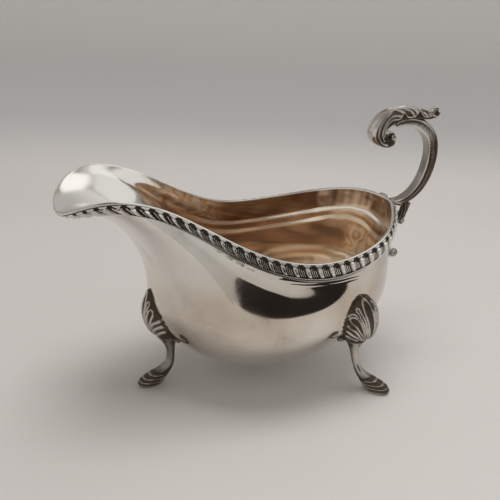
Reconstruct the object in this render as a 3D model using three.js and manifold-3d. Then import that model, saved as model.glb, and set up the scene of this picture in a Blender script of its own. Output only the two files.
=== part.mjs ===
// Sauce boat: raised bowl with a wide lip, gadroon border, flying scroll handle, three shell legs.
// Units mm, +Z up. X runs from the lip (-X) to the handle (+X), symmetric about y = 0, soles at z = 0.
import * as THREE from 'three';
import { mergeVertices } from 'three/addons/utils/BufferGeometryUtils.js';
import Module from 'manifold-3d';

const wasm = await Module();
wasm.setup();
const { Manifold, Mesh: MMesh } = wasm;

// ---------- driving dimensions ----------
// top edge of the bowl, lip tip to tail, half of the loop
const RIM_X = [-76.8, -73.1, -59.2, -35.4, -4.6, 26.5, 56.0, 71.2, 76.8];
const RIM_W = [0, 14.8, 24.7, 27.9, 34.6, 40.5, 32.5, 14.5, 0];
const RIM_Z = [90.1, 94.2, 99.5, 92.9, 75.6, 69.5, 74.0, 78.7, 78.4];
const WALL = 1.0;            // bowl wall
const GAP = 0.3;             // gap between touching pieces
const SHIFT_X = -12.2;       // moves the middle of the length to x = 0
// belly oval and keel
const BELLY_X = 11.24, BELLY_FRONT = 51.1, BELLY_REAR = 63.5, BELLY_HALF = 46.0, BELLY_Z = 46.1, BELLY_N = 1.95;
const KEEL_X = 10.6, KEEL_Z = 8.5;
// rib shape: length of the start tangent, its angle, belly and keel tangents
const TAN_LIP = 19.4, TAN_SIDE = 10.9, TAN_TAIL = 7.9, ANG_LIP = 1.79, ANG_SIDE = 0.0;
const BELLY_UP = 17.9 / 30, BELLY_DOWN = 17.4, KEEL_OUT = 0.55;
// gadroon border
const LOBES = 39, BORDER_H = 6.1, BORDER_T = 2.0;
// legs
const LEG_FLUTES = 11;
const FRONT_FOOT = [-41.0, 0], REAR_FOOT = [56.3, 40.2], REAR_ANGLE = 42;
// z, outer r, inner r, half width (r is measured from the middle of the foot, outwards)
const LEG_FRONT = [
  [0, 4.6, -5.8, 3.0], [0.9, 5.3, -6.4, 3.3], [2.2, 5.2, -7.1, 3.4], [3.5, 4.4, -7.9, 3.3], [4.8, 2.8, -8.7, 3.1], [6.0, 0.5, -9.5, 3.0],
  [7.4, -2.6, -10.3, 2.8], [9.0, -5.3, -11.0, 2.6], [11.2, -7.4, -11.6, 2.4], [14.3, -8.2, -11.9, 2.3], [17.5, -8.0, -12.0, 2.4], [20.5, -6.9, -12.3, 2.8],
  [23.0, -5.3, -13.2, 3.3], [25.5, -3.2, -15.0, 4.8], [28.0, -1.3, -17.5, 7.0], [31.0, 0.5, -20.0, 9.2], [34.0, 1.7, -22, 10.3], [37.0, 2.3, -23, 10.2],
  [40.0, 2.3, -23, 9.4], [43.0, 1.8, -23, 8.2], [45.5, 1.1, -23, 6.6], [47.4, 0.4, -23, 4.8], [48.8, -0.1, -23, 3.0], [49.6, -0.5, -23, 1.4]];
const LEG_REAR = [
  [0, 4.7, -5.8, 3.0], [0.9, 5.4, -6.4, 3.4], [2.2, 5.2, -7.2, 3.5], [3.5, 4.2, -8.0, 3.4], [4.8, 2.2, -8.8, 3.3], [6.0, -0.4, -9.5, 3.0],
  [7.4, -3.7, -10.4, 2.8], [9.0, -6.3, -11.2, 2.6], [11.2, -8.4, -12.1, 2.4], [14.3, -9.9, -13.2, 2.3], [17.5, -10.4, -14.1, 2.3], [20.5, -10.2, -15.0, 2.5],
  [23.0, -9.2, -16.2, 2.9], [25.5, -7.7, -18.5, 3.5], [28.0, -6.1, -21.5, 4.4], [31.5, -4.3, -24, 6.6], [35.0, -3.2, -26, 8.8], [38.5, -2.8, -27, 10.1],
  [42.0, -2.9, -27, 10.4], [45.5, -3.6, -27, 9.8], [48.5, -4.7, -27, 8.5], [50.8, -6.0, -27, 6.8], [52.4, -7.4, -27, 4.7], [53.4, -8.6, -27, 2.0]];
const REAR_TILT = 18;        // a rear shell leans towards the lip, degrees
const SHELL_BASE = 24.5;     // height the shell's flutes spread from
// handle, in the plane y = 0: x, z, half thickness, half width
const HANDLE = [
  [79.9, 76.7, 1.4, 2.9], [82.8, 76.8, 1.6, 2.8], [86.0, 77.6, 1.95, 2.8], [89.4, 79.4, 2.35, 2.8], [92.3, 82.0, 2.7, 2.85], [94.6, 85.1, 2.95, 2.9],
  [96.3, 88.6, 3.05, 2.95], [97.5, 92.5, 3.15, 3.0], [98.2, 96.5, 3.2, 3.0], [98.3, 100.4, 3.2, 3.0], [97.7, 104.3, 3.2, 3.0], [96.2, 107.9, 3.15, 3.0],
  [93.7, 111.0, 3.1, 3.0], [90.5, 113.4, 3.0, 3.0], [86.8, 115.0, 2.8, 3.0], [82.9, 115.7, 2.5, 3.0], [79.2, 115.6, 2.1, 2.9], [76.4, 114.9, 1.6, 2.7]];
const CAP = [
  [97.8, 116.8, 1.0, 2.4], [95.4, 116.9, 1.9, 3.2], [92.2, 117.4, 2.3, 3.7], [88.4, 117.9, 2.6, 4.0], [84.2, 118.3, 2.8, 4.3], [79.8, 118.2, 3.0, 4.5],
  [75.4, 117.4, 3.2, 4.8], [71.4, 115.7, 3.5, 5.0], [68.5, 113.1, 3.5, 5.1], [67.4, 110.3, 3.0, 5.1], [68.4, 108.1, 2.4, 5.0], [70.8, 107.1, 2.0, 4.9],
  [73.2, 107.5, 1.7, 4.8], [74.2, 109.2, 1.4, 4.7], [73.4, 110.7, 1.1, 4.6]];
const THUMB = [98.6, 119.0, 2.4, 2.8];
const STRUT = [
  [88.2, 75.8, 1.9, 2.2], [87.6, 73.4, 1.8, 2.1], [86.8, 71.0, 1.7, 2.1], [85.6, 68.7, 1.7, 2.3], [83.4, 67.1, 1.4, 2.6], [81.5, 66.7, 1.1, 2.8], [79.7, 66.7, 0.9, 2.7]];
const LOBE = [86.4, 66.2, 1.5];     // the leaf's turned-out tip

// ---------- curves ----------
function cyclicSpline(y) {
  const n = y.length, m = new Array(n).fill(0);
  for (let k = 0; k < 60; k++) for (let i = 0; i < n; i++) {
    const a = (i + n - 1) % n, b = (i + 1) % n;
    m[i] = (6 * (y[b] - 2 * y[i] + y[a]) - m[a] - m[b]) / 4;
  }
  return u => {
    let i = Math.floor(u); const f = u - i; i = ((i % n) + n) % n; const j = (i + 1) % n, g = 1 - f;
    return g * y[i] + f * y[j] + ((g * g * g - g) * m[i] + (f * f * f - f) * m[j]) / 6;
  };
}
function naturalSpline(x, y) {
  const n = x.length, m = new Array(n).fill(0);
  for (let k = 0; k < 80; k++) for (let i = 1; i < n - 1; i++) {
    const h0 = x[i] - x[i - 1], h1 = x[i + 1] - x[i];
    m[i] = (6 * ((y[i + 1] - y[i]) / h1 - (y[i] - y[i - 1]) / h0) - h0 * m[i - 1] - h1 * m[i + 1]) / (2 * (h0 + h1));
  }
  return u => {
    let i = 0; while (i < n - 2 && u > x[i + 1]) i++;
    const h = x[i + 1] - x[i], f = (u - x[i]) / h, g = 1 - f;
    return g * y[i] + f * y[i + 1] + h * h * ((g * g * g - g) * m[i] + (f * f * f - f) * m[i + 1]) / 6;
  };
}
const mirror = (a, k) => a.concat(a.slice(1, -1).reverse().map(v => k * v));
const sx = cyclicSpline(mirror(RIM_X, 1)), sy = cyclicSpline(mirror(RIM_W.map(v => -v), -1)), sz = cyclicSpline(mirror(RIM_Z, 1));
const rim = s => [sx(8 * s), sy(8 * s), sz(8 * s)];

// ---------- bowl surface: s 0..1 lip to tail on the side y < 0, t 0..2 rim to keel ----------
const add = (a, b, k = 1) => [a[0] + k * b[0], a[1] + k * b[1], a[2] + k * b[2]];
const sub = (a, b) => [a[0] - b[0], a[1] - b[1], a[2] - b[2]];
const cross = (a, b) => [a[1] * b[2] - a[2] * b[1], a[2] * b[0] - a[0] * b[2], a[0] * b[1] - a[1] * b[0]];
const len = a => Math.hypot(a[0], a[1], a[2]);
const unit = a => { const l = len(a) || 1; return [a[0] / l, a[1] / l, a[2] / l]; };
const bez = (a, b, c, d, t) => { const g = 1 - t; return [0, 1, 2].map(i => g * g * g * a[i] + 3 * g * g * t * b[i] + 3 * g * t * t * c[i] + t * t * t * d[i]); };
function rib(s) {
  const R = rim(s), c = Math.cos(Math.PI * s), sn = Math.abs(Math.sin(Math.PI * s)), e = 2 / BELLY_N;
  const sg = s > 1 ? -1 : 1, A = c > 0 ? BELLY_FRONT : BELLY_REAR;
  const bx = BELLY_X - A * Math.sign(c) * Math.abs(c) ** e, by = -sg * BELLY_HALF * sn ** e;
  const wf = c > 0 ? c * c : 0, wr = c < 0 ? c * c : 0, wm = 1 - wf - wr;
  const B = [bx, by, BELLY_Z], K = [KEEL_X, 0, KEEL_Z];
  const inw = unit([BELLY_X - R[0], -R[1], 0]);
  const ang = ANG_LIP * wf + ANG_SIDE * (wm + wr), a = TAN_LIP * wf + TAN_SIDE * wm + TAN_TAIL * wr;
  const P1 = add(R, [inw[0] * Math.sin(ang), inw[1] * Math.sin(ang), -Math.cos(ang)], a);
  const P2 = [bx, by, BELLY_Z + BELLY_UP * (R[2] - BELLY_Z)], P4 = [bx, by, BELLY_Z - BELLY_DOWN];
  const P5 = [K[0] + (bx - K[0]) * KEEL_OUT, by * KEEL_OUT, KEEL_Z];
  return t => t <= 1 ? bez(R, P1, P2, B, t) : bez(B, P4, P5, K, t - 1);
}
const surf = (s, t) => rib(s)(t);
function normal(s, t) {
  if (t > 1.995) return [0, 0, -1];
  const h = 1e-3, t0 = Math.max(0, t - h), t1 = Math.min(2, t + h);
  const ds = sub(surf(s + h, t), surf(s - h + (s - h < 0 ? 2 : 0), t)), dt = sub(surf(s, t1), surf(s, t0));
  let n = unit(cross(ds, dt));
  const p = surf(s, t), o = [p[0] - BELLY_X, p[1], p[2] - 60];
  const near = surf(s, 1), q = [near[0] - BELLY_X, near[1], 0];
  // outward is away from the inside of the bowl
  const ref = t < 1 ? [q[0], q[1], -0.9 * len(q) * (s < 0.35 || s > 1.65 ? 1 : 0)] : o;
  if (n[0] * ref[0] + n[1] * ref[1] + n[2] * ref[2] < 0) n = n.map(v => -v);
  return n;
}

// ---------- closed meshes from rings ----------
function fromRings(rings, closeEnds = true) {
  const m = rings[0].length, pos = [], idx = [];
  rings.forEach(r => r.forEach(p => pos.push(...p)));
  for (let i = 0; i < rings.length - 1; i++) for (let j = 0; j < m; j++) {
    const a = i * m + j, b = i * m + (j + 1) % m, c = a + m, d = b + m;
    idx.push(a, b, d, a, d, c);
  }
  if (closeEnds) for (const i of [0, rings.length - 1]) {
    const c = [0, 1, 2].map(k => rings[i].reduce((q, p) => q + p[k], 0) / m), ci = pos.length / 3;
    pos.push(...c);
    for (let j = 0; j < m; j++) { const a = i * m + j, b = i * m + (j + 1) % m; idx.push(...(i === 0 ? [ci, b, a] : [ci, a, b])); }
  }
  return toGeo(pos, idx);
}
function toGeo(pos, idx) {
  let g = new THREE.BufferGeometry();
  g.setAttribute('position', new THREE.Float32BufferAttribute(pos, 3));
  g.setIndex(idx);
  g = mergeVertices(g, 1e-4);
  const P = g.attributes.position, I = Array.from(g.index.array), out = [];
  for (let k = 0; k < I.length; k += 3) if (I[k] !== I[k + 1] && I[k + 1] !== I[k + 2] && I[k] !== I[k + 2]) out.push(I[k], I[k + 1], I[k + 2]);
  let v = 0;
  const g3 = i => [P.getX(i), P.getY(i), P.getZ(i)];
  for (let k = 0; k < out.length; k += 3) { const [a, b, c] = [g3(out[k]), g3(out[k + 1]), g3(out[k + 2])]; const q = cross(b, c); v += a[0] * q[0] + a[1] * q[1] + a[2] * q[2]; }
  if (v < 0) for (let k = 0; k < out.length; k += 3) [out[k], out[k + 1]] = [out[k + 1], out[k]];
  g.setIndex(out);
  return g;
}
const solid = g => new Manifold(new MMesh({ numProp: 3, vertProperties: new Float32Array(g.attributes.position.array), triVerts: new Uint32Array(g.index.array) }));
function geo(m) {
  const q = m.getMesh(), g = new THREE.BufferGeometry(), p = [];
  for (let i = 0; i < q.vertProperties.length; i += q.numProp) p.push(q.vertProperties[i], q.vertProperties[i + 1], q.vertProperties[i + 2]);
  return toGeo(p, Array.from(q.triVerts));
}
function largest(m) { const d = m.decompose(); return d.sort((a, b) => b.volume() - a.volume())[0]; }

// ---------- bowl ----------
const NS = 34, TS = [0, .1, .21, .33, .47, .62, .78, .94, 1.1, 1.26, 1.42, 1.57, 1.71, 1.84, 2];
const loop = f => { const r = []; for (let i = 0; i < 2 * NS; i++) r.push(f(i / NS)); return r; };
const outer = TS.map(t => loop(s => surf(s, t)));
const inner = TS.map(t => loop(s => add(surf(s, t), normal(s, t), -WALL)));
const bowlGeo = (() => {
  // outer rings from the keel up, then inner rings down to the keel
  return fromRings([...outer.slice().reverse(), ...inner], false);
})();
// the bowl's outside grown by the gap and closed across the top, for cutting
const cutter = (() => {
  const off = TS.map(t => loop(s => add(surf(s, t), normal(s, t), GAP)));
  const lid = off[0].map(p => [p[0] * 0.98, p[1] * 0.94, p[2] + 0.2]);
  const rings = [lid, ...off], m = 2 * NS, pos = [], idx = [];
  rings.forEach(r => r.forEach(p => pos.push(...p)));
  for (let i = 0; i < rings.length - 1; i++) for (let j = 0; j < m; j++) { const a = i * m + j, b = i * m + (j + 1) % m; idx.push(a, b, b + m, a, b + m, a + m); }
  for (let j = 0; j < NS; j++) { const a = j, b = j + 1, c = (m - j) % m, d = (m - j - 1) % m; idx.push(b, a, c, b, c, d); }
  return solid(toGeo(pos, idx));
})();

// ---------- gadroon border ----------
const BORDER_SECT = [[0.0, 0.0], [0.0, 0.6], [0.22, 0.95], [0.5, 1.0], [0.8, 0.8], [1.0, 0.5], [1.0, 0.0]];
function walk(s, d) {
  const r = rib(s); let acc = 0, p = r(0);
  for (let k = 1; k <= 200; k++) { const t = k / 160, q = r(t), l = len(sub(q, p)); if (acc + l >= d) return (k - 1 + (d - acc) / l) / 160; acc += l; p = q; }
  return 1;
}
const arc = (() => { const a = [0]; let p = rim(0); for (let k = 1; k <= 800; k++) { const q = rim(k / 800); a.push(a[k - 1] + len(sub(q, p))); p = q; } return a; })();
const sAt = d => { let k = 1; while (k < 800 && arc[k] < d) k++; return (k - 1 + (d - arc[k - 1]) / (arc[k] - arc[k - 1])) / 800; };
function border(side) {
  const L = arc[800], n = LOBES * 2, rings = [];
  for (let i = 0; i <= n; i++) {
    const u = i / n, s = Math.min(Math.max(sAt(0.25 + u * (L - 0.5)), 0.001), 0.999);
    const h = BORDER_H * (0.62 + 0.38 * Math.min(1, u / 0.16)) * (u > 0.96 ? 1 - 0.1 * (u - 0.96) / 0.04 : 1);
    const lobe = [1.0, 0.74][i % 2];
    rings.push(BORDER_SECT.map(([d, k]) => {
      const t = walk(s, d * h), p = surf(s, t), nn = normal(s, t);
      let q = add(p, nn, GAP + BORDER_T * k * (k > 0.6 ? lobe : 1));
      if (side > 0) q = [q[0], -q[1], q[2]];
      return q;
    }));
  }
  rings.forEach(r => r.forEach(q => { const lim = 0.2; if (side < 0 && q[1] > -lim) q[1] = -lim; if (side > 0 && q[1] < lim) q[1] = lim; }));
  return fromRings(rings);
}

// ---------- sweeps in the plane y = 0 ----------
function sweepXZ(P, n, ring, shape) {
  const d = [0]; for (let i = 1; i < P.length; i++) d.push(d[i - 1] + Math.hypot(P[i][0] - P[i - 1][0], P[i][1] - P[i - 1][1]));
  const f = [0, 1, 2, 3].map(k => naturalSpline(d, P.map(p => p[k])));
  const D = d[d.length - 1], rings = [];
  for (let i = 0; i <= n; i++) {
    const u = D * i / n, h = 0.05, u0 = Math.max(0, u - h), u1 = Math.min(D, u + h);
    const tx = f[0](u1) - f[0](u0), tz = f[1](u1) - f[1](u0), l = Math.hypot(tx, tz), nx = tz / l, nz = -tx / l;
    const x = f[0](u), z = f[1](u), a = f[2](u), b = f[3](u);
    rings.push(ring.map(([c, s]) => { const [p, q] = shape(c, s, a, b, i / n); return [x + nx * p, q, z + nz * p]; }));
  }
  return rings;
}
const circle = n => Array.from({ length: n }, (_, i) => [Math.cos(2 * Math.PI * i / n), Math.sin(2 * Math.PI * i / n)]);
const oval = (c, s, a, b) => [a * Math.sign(c) * Math.abs(c) ** 0.8, b * Math.sign(s) * Math.abs(s) ** 0.8];

const handleRings = g => sweepXZ(HANDLE, 34, circle(12), (c, s, a, b) => oval(c, s, a + g, b + g));
const handleGeo = fromRings(handleRings(0));
const handleGrown = solid(fromRings(handleRings(GAP)));
// leaf cap: ridges run along it, its sides hang over the handle
const capGeo = (() => {
  const rings = sweepXZ(CAP, 40, circle(18), (c, s, a, b, u) => {
    const ridge = 1 + 0.05 * Math.cos(7 * Math.atan2(s, c));
    const drop = c > 0 && u < 0.55 ? 1 + 0.55 * (1 - u / 0.55) ** 0.5 : 1;
    return [a * c * drop * ridge, b * s * ridge];
  });
  const m = solid(fromRings(rings));
  const e = circle(12);
  const ball = [];
  for (let i = 0; i <= 8; i++) { const th = Math.PI * i / 8, k = Math.max(Math.sin(th), 0.02); ball.push(e.map(([c, s]) => [THUMB[0] + THUMB[2] * k * c, -THUMB[3] * Math.cos(th), THUMB[1] + THUMB[2] * k * s])); }
  return geo(largest(m.add(solid(fromRings(ball))).subtract(handleGrown)));
})();

const strutGeo = (() => {
  const rings = sweepXZ(STRUT, 16, circle(14), (c, s, a, b) => oval(c, s, a, b));
  return geo(largest(solid(fromRings(rings)).add(ballAt([LOBE[0], 0, LOBE[1]], LOBE[2], 10)).subtract(handleGrown).subtract(cutter)));
})();

// ---------- legs ----------
function legRings(P, foot, ang, grow, tilt) {
  const z = P.map(p => p[0]), f = [1, 2, 3].map(k => naturalSpline(z, P.map(p => p[k])));
  const ux = Math.cos(ang), uy = Math.sin(ang), vx = -Math.sin(ang), vy = Math.cos(ang);
  const Z = []; for (const q of z) Z.push(q);
  const zs = []; for (let i = 0; i < Z.length - 1; i++) { zs.push(Z[i]); if (Z[i] > 22 && Z[i] < 50) zs.push((Z[i] + Z[i + 1]) / 2); } zs.push(Z[Z.length - 1]);
  return zs.map(q => {
    const ro = f[0](q) + grow, ri = f[1](q) - grow, b = f[2](q) + grow, rc = (ro + ri) / 2, a = (ro - ri) / 2;
    return circle(30).map(([c, s]) => {
      const e = q > 22 ? 1 : 0.9, cc = Math.sign(c) * Math.abs(c) ** e, ss = Math.sign(s) * Math.abs(s) ** e;
      let k = 1;
      if (q > 23 && c > -0.5) {
        const fan = Math.atan2(b * ss, q - SHELL_BASE), w = Math.min(1, (q - 23) / 8);
        k = 1 + 0.045 * w * Math.cos(LEG_FLUTES * fan * 1.15);
      }
      // the sole is an oval, widest in front of its middle
      const fw = q < 9 ? 1 + 0.25 * cc * (1 - q / 9) : 1;
      const r = rc + a * cc * k, v = b * ss * k * fw;
      const w = Math.min(1, Math.max(0, (q - 21) / 8)), ph = tilt * w * w * (3 - 2 * w) * Math.PI / 180, h = q - SHELL_BASE;
      const v1 = v * Math.cos(ph) - h * Math.sin(ph), z1 = SHELL_BASE + h * Math.cos(ph) + v * Math.sin(ph);
      return [foot[0] + ux * r + vx * v1, foot[1] + uy * r + vy * v1, z1];
    });
  });
}
const LEGS = [
  ['leg_front', LEG_FRONT, FRONT_FOOT, Math.PI, 0],
  ['leg_rear_left', LEG_REAR, [REAR_FOOT[0], REAR_FOOT[1]], REAR_ANGLE * Math.PI / 180, -REAR_TILT],
  ['leg_rear_right', LEG_REAR, [REAR_FOOT[0], -REAR_FOOT[1]], -REAR_ANGLE * Math.PI / 180, REAR_TILT]];
const legGeo = {}, legGrown = {};
for (const [n, P, F, a, tilt] of LEGS) {
  legGeo[n] = geo(largest(solid(fromRings(legRings(P, F, a, 0, tilt))).subtract(cutter)));
  legGrown[n] = solid(fromRings(legRings(P, F, a, GAP, tilt)));
}

// ---------- small scrolls ----------
function nearest(p) {
  let best = [0, 0, 1e9];
  for (let i = 0; i < 160; i++) for (let j = 2; j < 76; j++) { const s = i / 80, t = j / 38, d = len(sub(surf(s, t), p)); if (d < best[2]) best = [s, t, d]; }
  for (let k = 0, h = 0.012; k < 12; k++, h /= 2) for (const [a, b] of [[h, 0], [-h, 0], [0, h * 2], [0, -h * 2]]) {
    const s = best[0] + a, t = Math.min(1.98, Math.max(0.01, best[1] + b)), d = len(sub(surf((s + 2) % 2, t), p)); if (d < best[2]) best = [(s + 2) % 2, t, d];
  }
  return best;
}
// tube through points [x, y, z, r]
function tube(P, n, m) {
  const d = [0]; for (let i = 1; i < P.length; i++) d.push(d[i - 1] + len(sub(P[i], P[i - 1])));
  const f = [0, 1, 2, 3].map(k => naturalSpline(d, P.map(p => p[k]))), D = d[d.length - 1], rings = [];
  let up = null;
  for (let i = 0; i <= n; i++) {
    const u = D * i / n, at = q => [f[0](q), f[1](q), f[2](q)];
    const T = unit(sub(at(Math.min(D, u + 0.05)), at(Math.max(0, u - 0.05))));
    if (!up) up = Math.abs(T[2]) < 0.9 ? [0, 0, 1] : [1, 0, 0];
    const A = unit(cross(T, up)), B = cross(A, T); up = B;
    const r = Math.max(0.25, f[3](u));
    rings.push(circle(m).map(([c, s]) => add(add(at(u), A, r * c), B, r * s)));
  }
  return fromRings(rings);
}
function ballAt(p, r, m = 8) { const out = []; for (let i = 0; i <= 6; i++) { const th = Math.PI * i / 6, k = Math.max(Math.sin(th), 0.02); out.push(circle(m).map(([c, s]) => [p[0] + r * k * c, p[1] + r * k * s, p[2] + r * Math.cos(th)])); } return solid(fromRings(out)); }
const offSurf = (p, h) => { const [s, t] = nearest(p); return add(surf(s, t), normal(s, t), h); };
function bracket(legName, foot, ang, side) {
  const ux = Math.cos(ang), uy = Math.sin(ang), vx = -Math.sin(ang), vy = Math.cos(ang);
  const rb = legName === 'leg_front' ? -10.4 : -17.0;
  const at = (r, v, z) => [foot[0] + ux * r + vx * v, foot[1] + uy * r + vy * v, z];
  const pts = legName === 'leg_front'
    ? [[0.6, 3.0, 25.2, 1.1, 1.2], [-0.2, 6.0, 26.0, 0.9, 1.0], [-1.0, 9.0, 27.2, 0.9, 1.0], [-2.0, 11.4, 28.4, 1.0, 1.1]]
    : [[0.6, 3.0, 26.0, 1.1, 1.2], [-0.2, 5.8, 27.0, 0.9, 1.0], [-1.0, 8.8, 28.6, 0.9, 1.0], [-2.0, 11.8, 30.6, 1.0, 1.1]];
  const P = pts.map(([dr, v, z, r, h]) => [...offSurf(at(rb + dr, side * v, z), h + GAP), r]);
  const e = P[P.length - 1];
  return geo(largest(solid(tube(P, 6, 8)).add(ballAt(e, 1.6)).subtract(cutter).subtract(legGrown[legName])));
}
function jointScroll(side) {
  const P = [[0.021, 1.0], [0.031, 1.0], [0.042, 1.1], [0.052, 1.25]].map(([ds, r], i) => {
    const s = 1 - ds, t = walk(s, 0.6), p = surf(s, t), n = normal(s, t), q = add(p, n, GAP * 2 + BORDER_T + r);
    return [q[0], side * Math.abs(q[1]), q[2] + 0.2, r];
  });
  const e = P[P.length - 1];
  return geo(largest(solid(tube(P, 6, 8)).add(ballAt(e, 1.5)).subtract(handleGrown)));
}
function lowerScroll(side) {
  const P = [[81.0, 4.0, 64.4, 1.2], [79.8, 6.8, 61.6, 1.1], [77.5, 9.8, 58.8, 1.1], [74.5, 12.6, 57.0, 1.3]].map(([x, y, z, r]) => [...offSurf([x, side * y, z], r + GAP + 0.2), r]);
  const e = P[P.length - 1];
  return geo(largest(solid(tube(P, 7, 8)).add(ballAt(e, 2.0)).subtract(cutter).subtract(solid(strutGeo))));
}

// ---------- assembly ----------
const silver = (color, roughness) => new THREE.MeshStandardMaterial({ color, roughness, metalness: 1 });
const POLISHED = silver(0xd9d5cd, 0.14), CAST = silver(0xb9b3a8, 0.3), BORDER = silver(0xc4beb3, 0.26);
const root = new THREE.Group();
root.name = 'sauce_boat';
function put(name, g, mat) { g.deleteAttribute('normal'); g.deleteAttribute('uv'); g.translate(SHIFT_X, 0, 0); g.computeVertexNormals(); const m = new THREE.Mesh(g, mat); m.name = name; root.add(m); }
put('body_bowl', bowlGeo, POLISHED);
put('rim_border_left', border(1), BORDER);
put('rim_border_right', border(-1), BORDER);
put('handle_scroll', handleGeo, CAST);
put('handle_leaf_cap', capGeo, CAST);
put('handle_strut_leaf', strutGeo, CAST);
put('handle_joint_scroll_left', jointScroll(1), CAST);
put('handle_joint_scroll_right', jointScroll(-1), CAST);
put('handle_lower_scroll_left', lowerScroll(1), CAST);
put('handle_lower_scroll_right', lowerScroll(-1), CAST);
for (const [n] of LEGS) put(n, legGeo[n], CAST);
for (const [n, , F, a] of LEGS) for (const [k, side] of [['a', 1], ['b', -1]]) put(`${n.replace('leg_', 'leg_scroll_')}_${k}`, bracket(n, F, a, side), CAST);

export default root;
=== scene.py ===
# Sauce boat: raised silver bowl, gadroon border, leaf-capped scroll handle, three shell-headed legs.
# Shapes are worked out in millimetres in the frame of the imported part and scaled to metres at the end.
import bpy
import math
import numpy as np
from mathutils import Matrix, Vector


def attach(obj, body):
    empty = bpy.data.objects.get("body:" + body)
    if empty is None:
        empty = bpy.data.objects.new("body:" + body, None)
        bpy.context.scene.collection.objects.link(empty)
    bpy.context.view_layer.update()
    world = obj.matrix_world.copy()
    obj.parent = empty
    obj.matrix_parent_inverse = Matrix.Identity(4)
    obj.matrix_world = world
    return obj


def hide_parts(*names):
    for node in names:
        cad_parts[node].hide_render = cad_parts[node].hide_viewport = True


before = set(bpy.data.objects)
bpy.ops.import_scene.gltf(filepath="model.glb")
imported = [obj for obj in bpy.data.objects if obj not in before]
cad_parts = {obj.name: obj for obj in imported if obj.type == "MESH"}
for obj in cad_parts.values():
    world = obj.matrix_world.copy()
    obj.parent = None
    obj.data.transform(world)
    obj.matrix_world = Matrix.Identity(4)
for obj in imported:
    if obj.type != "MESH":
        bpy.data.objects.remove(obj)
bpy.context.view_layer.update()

MM = 0.001
SHIFT_X = -12.2
pi = math.pi

# ------------------------------------------------------------------ driving dimensions
RIM_X = [-76.8, -73.1, -59.2, -35.4, -4.6, 26.5, 56.0, 71.2, 76.8]
RIM_W = [0, 14.8, 24.7, 27.9, 34.6, 40.5, 32.5, 14.5, 0]
RIM_Z = [90.1, 94.2, 99.5, 92.9, 75.6, 69.5, 74.0, 78.7, 78.4]
WALL = 1.0
BELLY_X, BELLY_FRONT, BELLY_REAR, BELLY_HALF, BELLY_Z, BELLY_N = 11.24, 51.1, 63.5, 46.0, 46.1, 1.95
KEEL_X, KEEL_Z = 10.6, 8.5
TAN_LIP, TAN_SIDE, TAN_TAIL, ANG_LIP = 19.4, 10.9, 7.9, 1.79
BELLY_UP, BELLY_DOWN, KEEL_OUT = 17.9 / 30, 17.4, 0.55
BORDER_H, BORDER_T = 6.1, 2.0
FRONT_FOOT, REAR_FOOT, REAR_ANGLE = (-41.0, 0.0), (56.3, 40.2), 42.0
REAR_TILT, SHELL_BASE = 18.0, 24.5
LEG_FRONT = [
    [0, 4.6, -5.8, 3.0], [0.9, 5.3, -6.4, 3.3], [2.2, 5.2, -7.1, 3.4], [3.5, 4.4, -7.9, 3.3], [4.8, 2.8, -8.7, 3.1], [6.0, 0.5, -9.5, 3.0],
    [7.4, -2.6, -10.3, 2.8], [9.0, -5.3, -11.0, 2.6], [11.2, -7.4, -11.6, 2.4], [14.3, -8.2, -11.9, 2.3], [17.5, -8.0, -12.0, 2.4], [20.5, -6.9, -12.3, 2.8],
    [23.0, -5.3, -13.2, 3.3], [25.5, -3.2, -15.0, 4.8], [28.0, -1.3, -17.5, 7.0], [31.0, 0.5, -20.0, 9.2], [34.0, 1.7, -22, 10.3], [37.0, 2.3, -23, 10.2],
    [40.0, 2.3, -23, 9.4], [43.0, 1.8, -23, 8.2], [45.5, 1.1, -23, 6.6], [47.4, 0.4, -23, 4.8], [48.8, -0.1, -23, 3.0], [49.6, -0.5, -23, 1.4]]
LEG_REAR = [
    [0, 4.7, -5.8, 3.0], [0.9, 5.4, -6.4, 3.4], [2.2, 5.2, -7.2, 3.5], [3.5, 4.2, -8.0, 3.4], [4.8, 2.2, -8.8, 3.3], [6.0, -0.4, -9.5, 3.0],
    [7.4, -3.7, -10.4, 2.8], [9.0, -6.3, -11.2, 2.6], [11.2, -8.4, -12.1, 2.4], [14.3, -9.9, -13.2, 2.3], [17.5, -10.4, -14.1, 2.3], [20.5, -10.2, -15.0, 2.5],
    [23.0, -9.2, -16.2, 2.9], [25.5, -7.7, -18.5, 3.5], [28.0, -6.1, -21.5, 4.4], [31.5, -4.3, -24, 6.6], [35.0, -3.2, -26, 8.8], [38.5, -2.8, -27, 10.1],
    [42.0, -2.9, -27, 10.4], [45.5, -3.6, -27, 9.8], [48.5, -4.7, -27, 8.5], [50.8, -6.0, -27, 6.8], [52.4, -7.4, -27, 4.7], [53.4, -8.6, -27, 2.0]]
HANDLE = [
    [79.9, 76.7, 1.4, 2.9], [82.8, 76.8, 1.6, 2.8], [86.0, 77.6, 1.95, 2.8], [89.4, 79.4, 2.35, 2.8], [92.3, 82.0, 2.7, 2.85], [94.6, 85.1, 2.95, 2.9],
    [96.3, 88.6, 3.05, 2.95], [97.5, 92.5, 3.15, 3.0], [98.2, 96.5, 3.2, 3.0], [98.3, 100.4, 3.2, 3.0], [97.7, 104.3, 3.2, 3.0], [96.2, 107.9, 3.15, 3.0],
    [93.7, 111.0, 3.1, 3.0], [90.5, 113.4, 3.0, 3.0], [86.8, 115.0, 2.8, 3.0], [82.9, 115.7, 2.5, 3.0], [79.2, 115.6, 2.1, 2.9], [76.4, 114.9, 1.6, 2.7]]
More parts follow.
